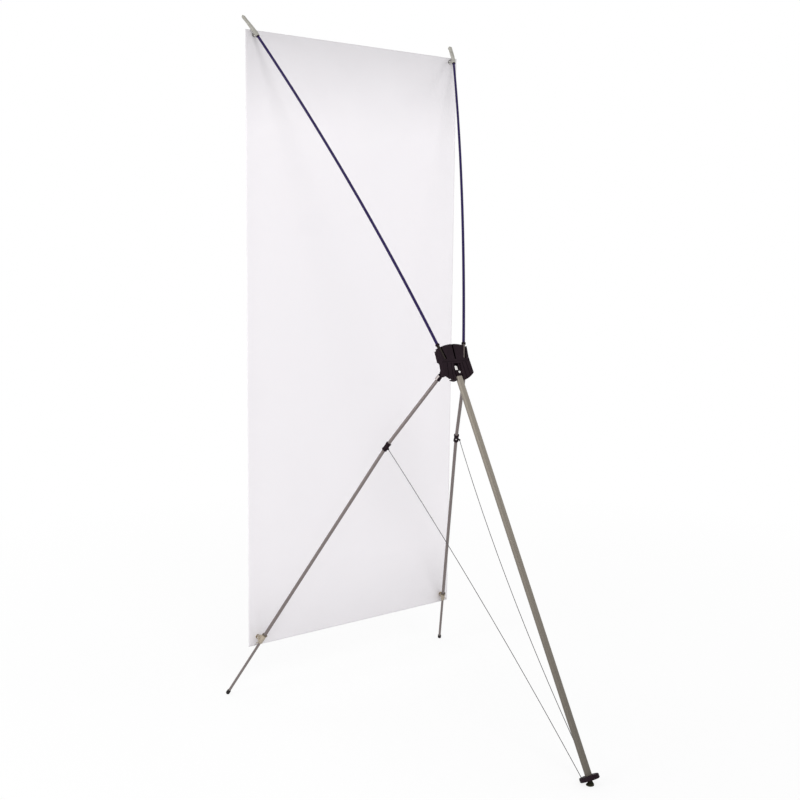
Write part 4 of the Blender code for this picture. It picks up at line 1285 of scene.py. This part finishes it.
@dataclass
class HubScrews:
    """The four cross-head screws on the hub's front."""

    finish: Material
    hub_centre: Triple = (0.0, 0.462, 1.050)
    tilt_degrees: float = 21.8
    places: tuple[Triple, ...] = ((0.030, -0.0165, 0.020), (0.024, -0.022, -0.0235))
    head_radius: float = 0.0035
    head_height: float = 0.0024
    dome: Profile = ((0.45, 0.97), (0.80, 0.76), (1.0, 0.34))
    shank: Profile = ((0.0035, 0.0003), (0.0016, 0.0003), (0.0016, -0.0050))
    first_turn: float = 0.5
    recess: float = 0.0013
    cross_reach: float = 0.62
    cross_half: float = 0.00042
    cross_taper: float = 0.55

    def cross(self) -> Mesh:
        """Cutter of the cross recess.

        Returns:
            The closed cutter, narrower towards its foot.
        """
        arm, half = self.head_radius * self.cross_reach, self.cross_half
        outline = [(arm, -half), (arm, half), (half, half), (half, arm), (-half, arm), (-half, half),
                   (-arm, half), (-arm, -half), (-half, -half), (-half, -arm), (half, -arm), (half, -half)]
        ends = ((self.cross_taper, self.head_height - self.recess), (1.0, self.head_height + 0.001))
        return loft("cross_cutter", [[Vector((x * share, y * share, z)) for x, y in outline] for share, z in ends])

    def screw(self) -> Mesh:
        """One screw along +Z, with a domed head and a cross recess.

        Returns:
            The screw's mesh.
        """
        dome = [(self.head_radius * wide, self.head_height * high) for wide, high in self.dome]
        profile = [(0.0003, self.head_height), *dome, *self.shank]
        return worked("screw", turned("screw", profile, Matrix.Identity(4), 32), [self.cross()], Boolean.CUT)

    def build(self, tree: NodeTree) -> None:
        """Seat all four screws in one mesh for the hub.

        Args:
            tree: the seated screws tree.
        """
        hub = Matrix.Translation(at(*self.hub_centre)) @ Matrix.Rotation(math.radians(self.tilt_degrees), 4, "X")
        mesh = bpy.data.meshes.new("screw_seats")
        mesh.from_pydata([tuple(hub @ Vector((x * side.value, y, z))) for x, y, z in self.places for side in Side],
                         [], [])
        turn = mesh.attributes.new("turn", "FLOAT_VECTOR", "POINT")
        for index, item in enumerate(turn.data):
            spun = Matrix.Rotation(self.first_turn + index, 3, "Z")
            item.vector = (hub.to_3x3() @ Matrix.Rotation(math.pi / 2, 3, "X") @ spun).to_euler()
        screw = place_mesh("screw", self.screw())
        screws = tree.bake(place_mesh("screw_seats", mesh), "hub_cross_head_screws", Screw=screw, Finish=self.finish)
        bpy.data.objects.remove(screw, do_unlink=True)
        seat(screws, "hub", "plated_steel", "hub_screw_1", "hub_screw_2", "hub_screw_3", "hub_screw_4")


@dataclass
class FrameFinishes:
    """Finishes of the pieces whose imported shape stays."""

    nodes: dict[str, Piece]
    black: Material
    rear_leg: Triple = (0.0, 0.47453, -0.88024)
    front_leg: Triple = (0.31416, -0.42691, -0.84797)

    def dress(self, finish: Material, *names: str) -> None:
        """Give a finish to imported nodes.

        Args:
            finish: the material.
            names: the nodes' names.
        """
        for name in names:
            for slot in self.nodes[name].material_slots:
                slot.material = finish
            LOG.info("%s: %s", name, finish.name)

    def build(self) -> None:
        """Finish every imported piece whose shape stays."""
        self.dress(self.black, "hub_rear_cover", "hub_front_cover", "hub_spider", "rear_leg_knuckle",
                   "rear_foot_flange", *pair("front_leg_knuckle", "stay_clip", "rod_collar"))
        steel = PlatedMetal("plated steel", (0.66, 0.65, 0.63)).build()
        self.dress(steel, "rear_leg_pin", "rear_leg_stop_tongue", "rear_leg_rivet",
                   *pair("front_leg_pin", "stay_clip_rivet"))
        # The two ferrules are one metal: the left one's much darker copy is painted shade.
        self.dress(PlatedMetal("dull ferrule metal", (0.125, 0.103, 0.096), 0.38).build(), "rod_ferrule_right")
        shadowed = PlatedMetal("tarnished ferrule metal", (0.042, 0.034, 0.030), 0.42).build()
        self.dress(shadowed, "rod_ferrule_left")
        # Painted light: the rear tube is darker near the floor and lighter towards the hub.
        rear = AnodisedTube("rear tube", (0.198, 0.177, 0.149), self.rear_leg, tone=(0.76, 1.34)).build()
        self.dress(rear, "rear_leg_tube")
        for side in Side:
            down = mirrored(self.front_leg, side)
            tube = AnodisedTube(f"front tube {side.label}", (0.204, 0.174, 0.168), tuple(down)).build()
            self.dress(tube, f"front_leg_tube_{side.label}", f"front_leg_inner_tube_{side.label}")
        beige = MouldedPlastic("beige plastic", (0.380, 0.325, 0.255), 0.50, marks=0.12).build()
        self.dress(beige, *pair("banner_hook"))
        self.dress(PlatedMetal("eyelet brass", (0.46, 0.34, 0.19), 0.38).build(), *pair("eyelet_bottom"))
        self.dress(PlatedMetal("dull nickel", (0.29, 0.275, 0.265), 0.40).build(), *pair("eyelet_top"))
        self.dress(FloorRubber("cap rubber", (0.018, 0.015, 0.016)).build(), *pair("front_foot_cap"))
        # Painted shade: the hook rings are a darker copy of the hooks' beige plastic.
        shaded_beige = MouldedPlastic("ring plastic", (0.160, 0.132, 0.098), 0.62, gloss=0.20).build()
        self.dress(shaded_beige, *pair("hook_ring"))


# Studio


@dataclass(frozen=True)
class Camera:
    """The camera as the photograph was taken."""

    place: Triple = (2.169, 2.913, 1.371)
    azimuth: float = 141.14
    elevation: float = 7.63
    roll: float = 0.68
    focal_pixels: float = 1167.0

    def build(self) -> None:
        """Make the scene's camera, turned and rolled to the photograph's view."""
        data = bpy.data.cameras.new("camera")
        data.sensor_width = SENSOR_MM
        data.lens = self.focal_pixels / IMAGE_PIXELS * SENSOR_MM
        azimuth, elevation, turn = (math.radians(angle) for angle in (self.azimuth, self.elevation, self.roll))
        level = math.cos(elevation)
        back = Vector((math.sin(azimuth) * level, -math.cos(azimuth) * level, math.sin(elevation)))
        right = (-back).cross(Vector((0.0, 0.0, 1.0))).normalized()
        up = back.cross(right)
        rolled = right * math.cos(turn) + up * math.sin(turn)
        upright = up * math.cos(turn) - right * math.sin(turn)
        matrix = Matrix((rolled, upright, back)).transposed().to_4x4()
        matrix.translation = at(*self.place)
        camera = bpy.data.objects.new("camera", data)
        bpy.context.scene.collection.objects.link(camera)
        camera.matrix_world = matrix
        bpy.context.scene.camera = camera


@dataclass(frozen=True)
class Studio:
    """Pale floor, white surround and soft lamps."""

    half_floor: float = 20.0
    surround: float = 0.66
    floor_tone: float = 0.86
    floor_white: float = 0.86
    floor_fade: Pair = (0.9, 3.2)
    aim: Triple = (0.0, 0.0, 0.9)
    lamps: tuple[tuple[str, Triple, float, float], ...] = (
        ("key", (1.6, 4.2, 4.6), 2.6, 90.0),
        ("fill", (-3.6, 2.2, 2.6), 2.8, 29.0),
        ("front", (0.8, -4.6, 3.2), 3.0, 48.0),
        ("side", (4.3, -0.25, 2.0), 1.2, 62.0),
    )

    def build(self) -> None:
        """Make the floor, the surround and the lamps."""
        self.build_floor()
        self.build_surround()
        for name, place, size, power in self.lamps:
            data = bpy.data.lights.new(name, "AREA")
            data.shape = "DISK"
            data.size = size
            data.energy = power
            lamp = bpy.data.objects.new(name, data)
            bpy.context.scene.collection.objects.link(lamp)
            lamp.location = place
            lamp.rotation_euler = (Vector(self.aim) - Vector(place)).to_track_quat("-Z", "Y").to_euler()

    def build_floor(self) -> None:
        """Wide pale floor that keeps the shadow and fades to white away from the stand."""
        mesh = bpy.data.meshes.new("studio_floor")
        half = self.half_floor
        mesh.from_pydata([(-half, -half, 0.0), (half, -half, 0.0), (half, half, 0.0), (-half, half, 0.0)], [],
                         [(0, 1, 2, 3)])
        sheet = NodeSheet("studio floor")
        sheet.set(base_color=(self.floor_tone,) * 3 + (1.0,), roughness=0.9, specular_ior_level=0.1)
        glow = sheet.add("ShaderNodeEmission", {"Color": (1.0, 1.0, 1.0, 1.0), "Strength": 1.0})
        path = sheet.add("ShaderNodeLightPath").outputs
        seen = sheet.math("MAXIMUM", path["Is Camera Ray"], path["Is Glossy Ray"])
        seen = sheet.math("MAXIMUM", seen, path["Is Transmission Ray"])
        place = sheet.add("ShaderNodeTexCoord").outputs["Object"]
        away = sheet.add("ShaderNodeVectorMath", {0: place}, operation="LENGTH").outputs["Value"]
        share = sheet.math("MULTIPLY", seen, sheet.spread(away, self.floor_white, 1.0, *self.floor_fade))
        mix = sheet.add("ShaderNodeMixShader", {"Fac": share, 1: sheet.shader.outputs["BSDF"],
                                                2: glow.outputs["Emission"]})
        sheet.tree.links.new(mix.outputs["Shader"], sheet.tree.nodes["Material Output"].inputs["Surface"])
        place_mesh("studio_floor", mesh, sheet.material)

    def build_surround(self) -> None:
        """White world whose light on the object stays below the white that shows."""
        world = bpy.data.worlds.new("studio")
        bpy.context.scene.world = world
        world.use_nodes = True
        tree = world.node_tree
        background = tree.nodes["Background"].inputs
        background["Color"].default_value = (1.0, 1.0, 1.0, 1.0)
        path = lay(tree, "ShaderNodeLightPath").outputs
        shown = lay(tree, "ShaderNodeMath", {0: path["Is Camera Ray"], 1: path["Is Transmission Ray"]},
                    operation="MAXIMUM")
        strength = lay(tree, "ShaderNodeMapRange", {"Value": shown.outputs["Value"], "To Min": self.surround,
                                                    "To Max": 1.0})
        tree.links.new(strength.outputs["Result"], background["Strength"])


def main() -> None:
    """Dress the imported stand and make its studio."""
    logging.basicConfig(level=logging.INFO, format="%(name)s: %(message)s")
    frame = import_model()
    Camera().build()

    yarn = TwistedYarn("grey cord yarn", (0.080, 0.076, 0.080)).build()
    # The banner's second colour is its painted shade at the edges.
    film = BannerFilm("white banner film", (0.897, 0.872, 0.900), (0.680, 0.661, 0.683)).build()
    # Painted shade in the black plastic's grooves, by ambient occlusion.
    black = MouldedPlastic("black moulded plastic", (0.0175, 0.0104, 0.0142), 0.46, gloss=0.03,
                           groove_reach=0.012).build()
    grey = MouldedPlastic("warm grey plastic", (0.36, 0.35, 0.315), 0.50, marks=0.12).build()
    pale = AnodisedTube("pale sleeve", (0.40, 0.36, 0.355), (0.33684, -0.49466, -0.80118), 0.46).build()
    rubber = FloorRubber("foot rubber", (0.013, 0.0125, 0.0045), 0.008, dust=1.8).build()
    bright = PlatedMetal("screw steel", (0.62, 0.61, 0.60), 0.30).build()

    cord_tree, rod_tree, folds = laid_cord_tree(), tapered_line_tree(), FoldTravel()
    for side in Side:
        StayCord(side, yarn).build(cord_tree, folds)
    BannerSheet(film).build()
    for side in Side:
        direction = (0.315 * side.value, -0.42, 0.85)
        rod = UpperRod(side, LacqueredRod(f"navy rod {side.label}", (0.0230, 0.0135, 0.0720), direction).build())
        rod.build(rod_tree)
        RodTip(rod, grey, black).build()
    for side in Side:
        SocketSleeve(side, pale).build()
    RearStub(rubber).build()
    HubScrews(bright).build(seated_screws_tree())
    FrameFinishes(frame["nodes"], black).build()

    Studio().build()
    bpy.context.scene.view_settings.view_transform = "Standard"


if __name__ == "__main__":
    main()
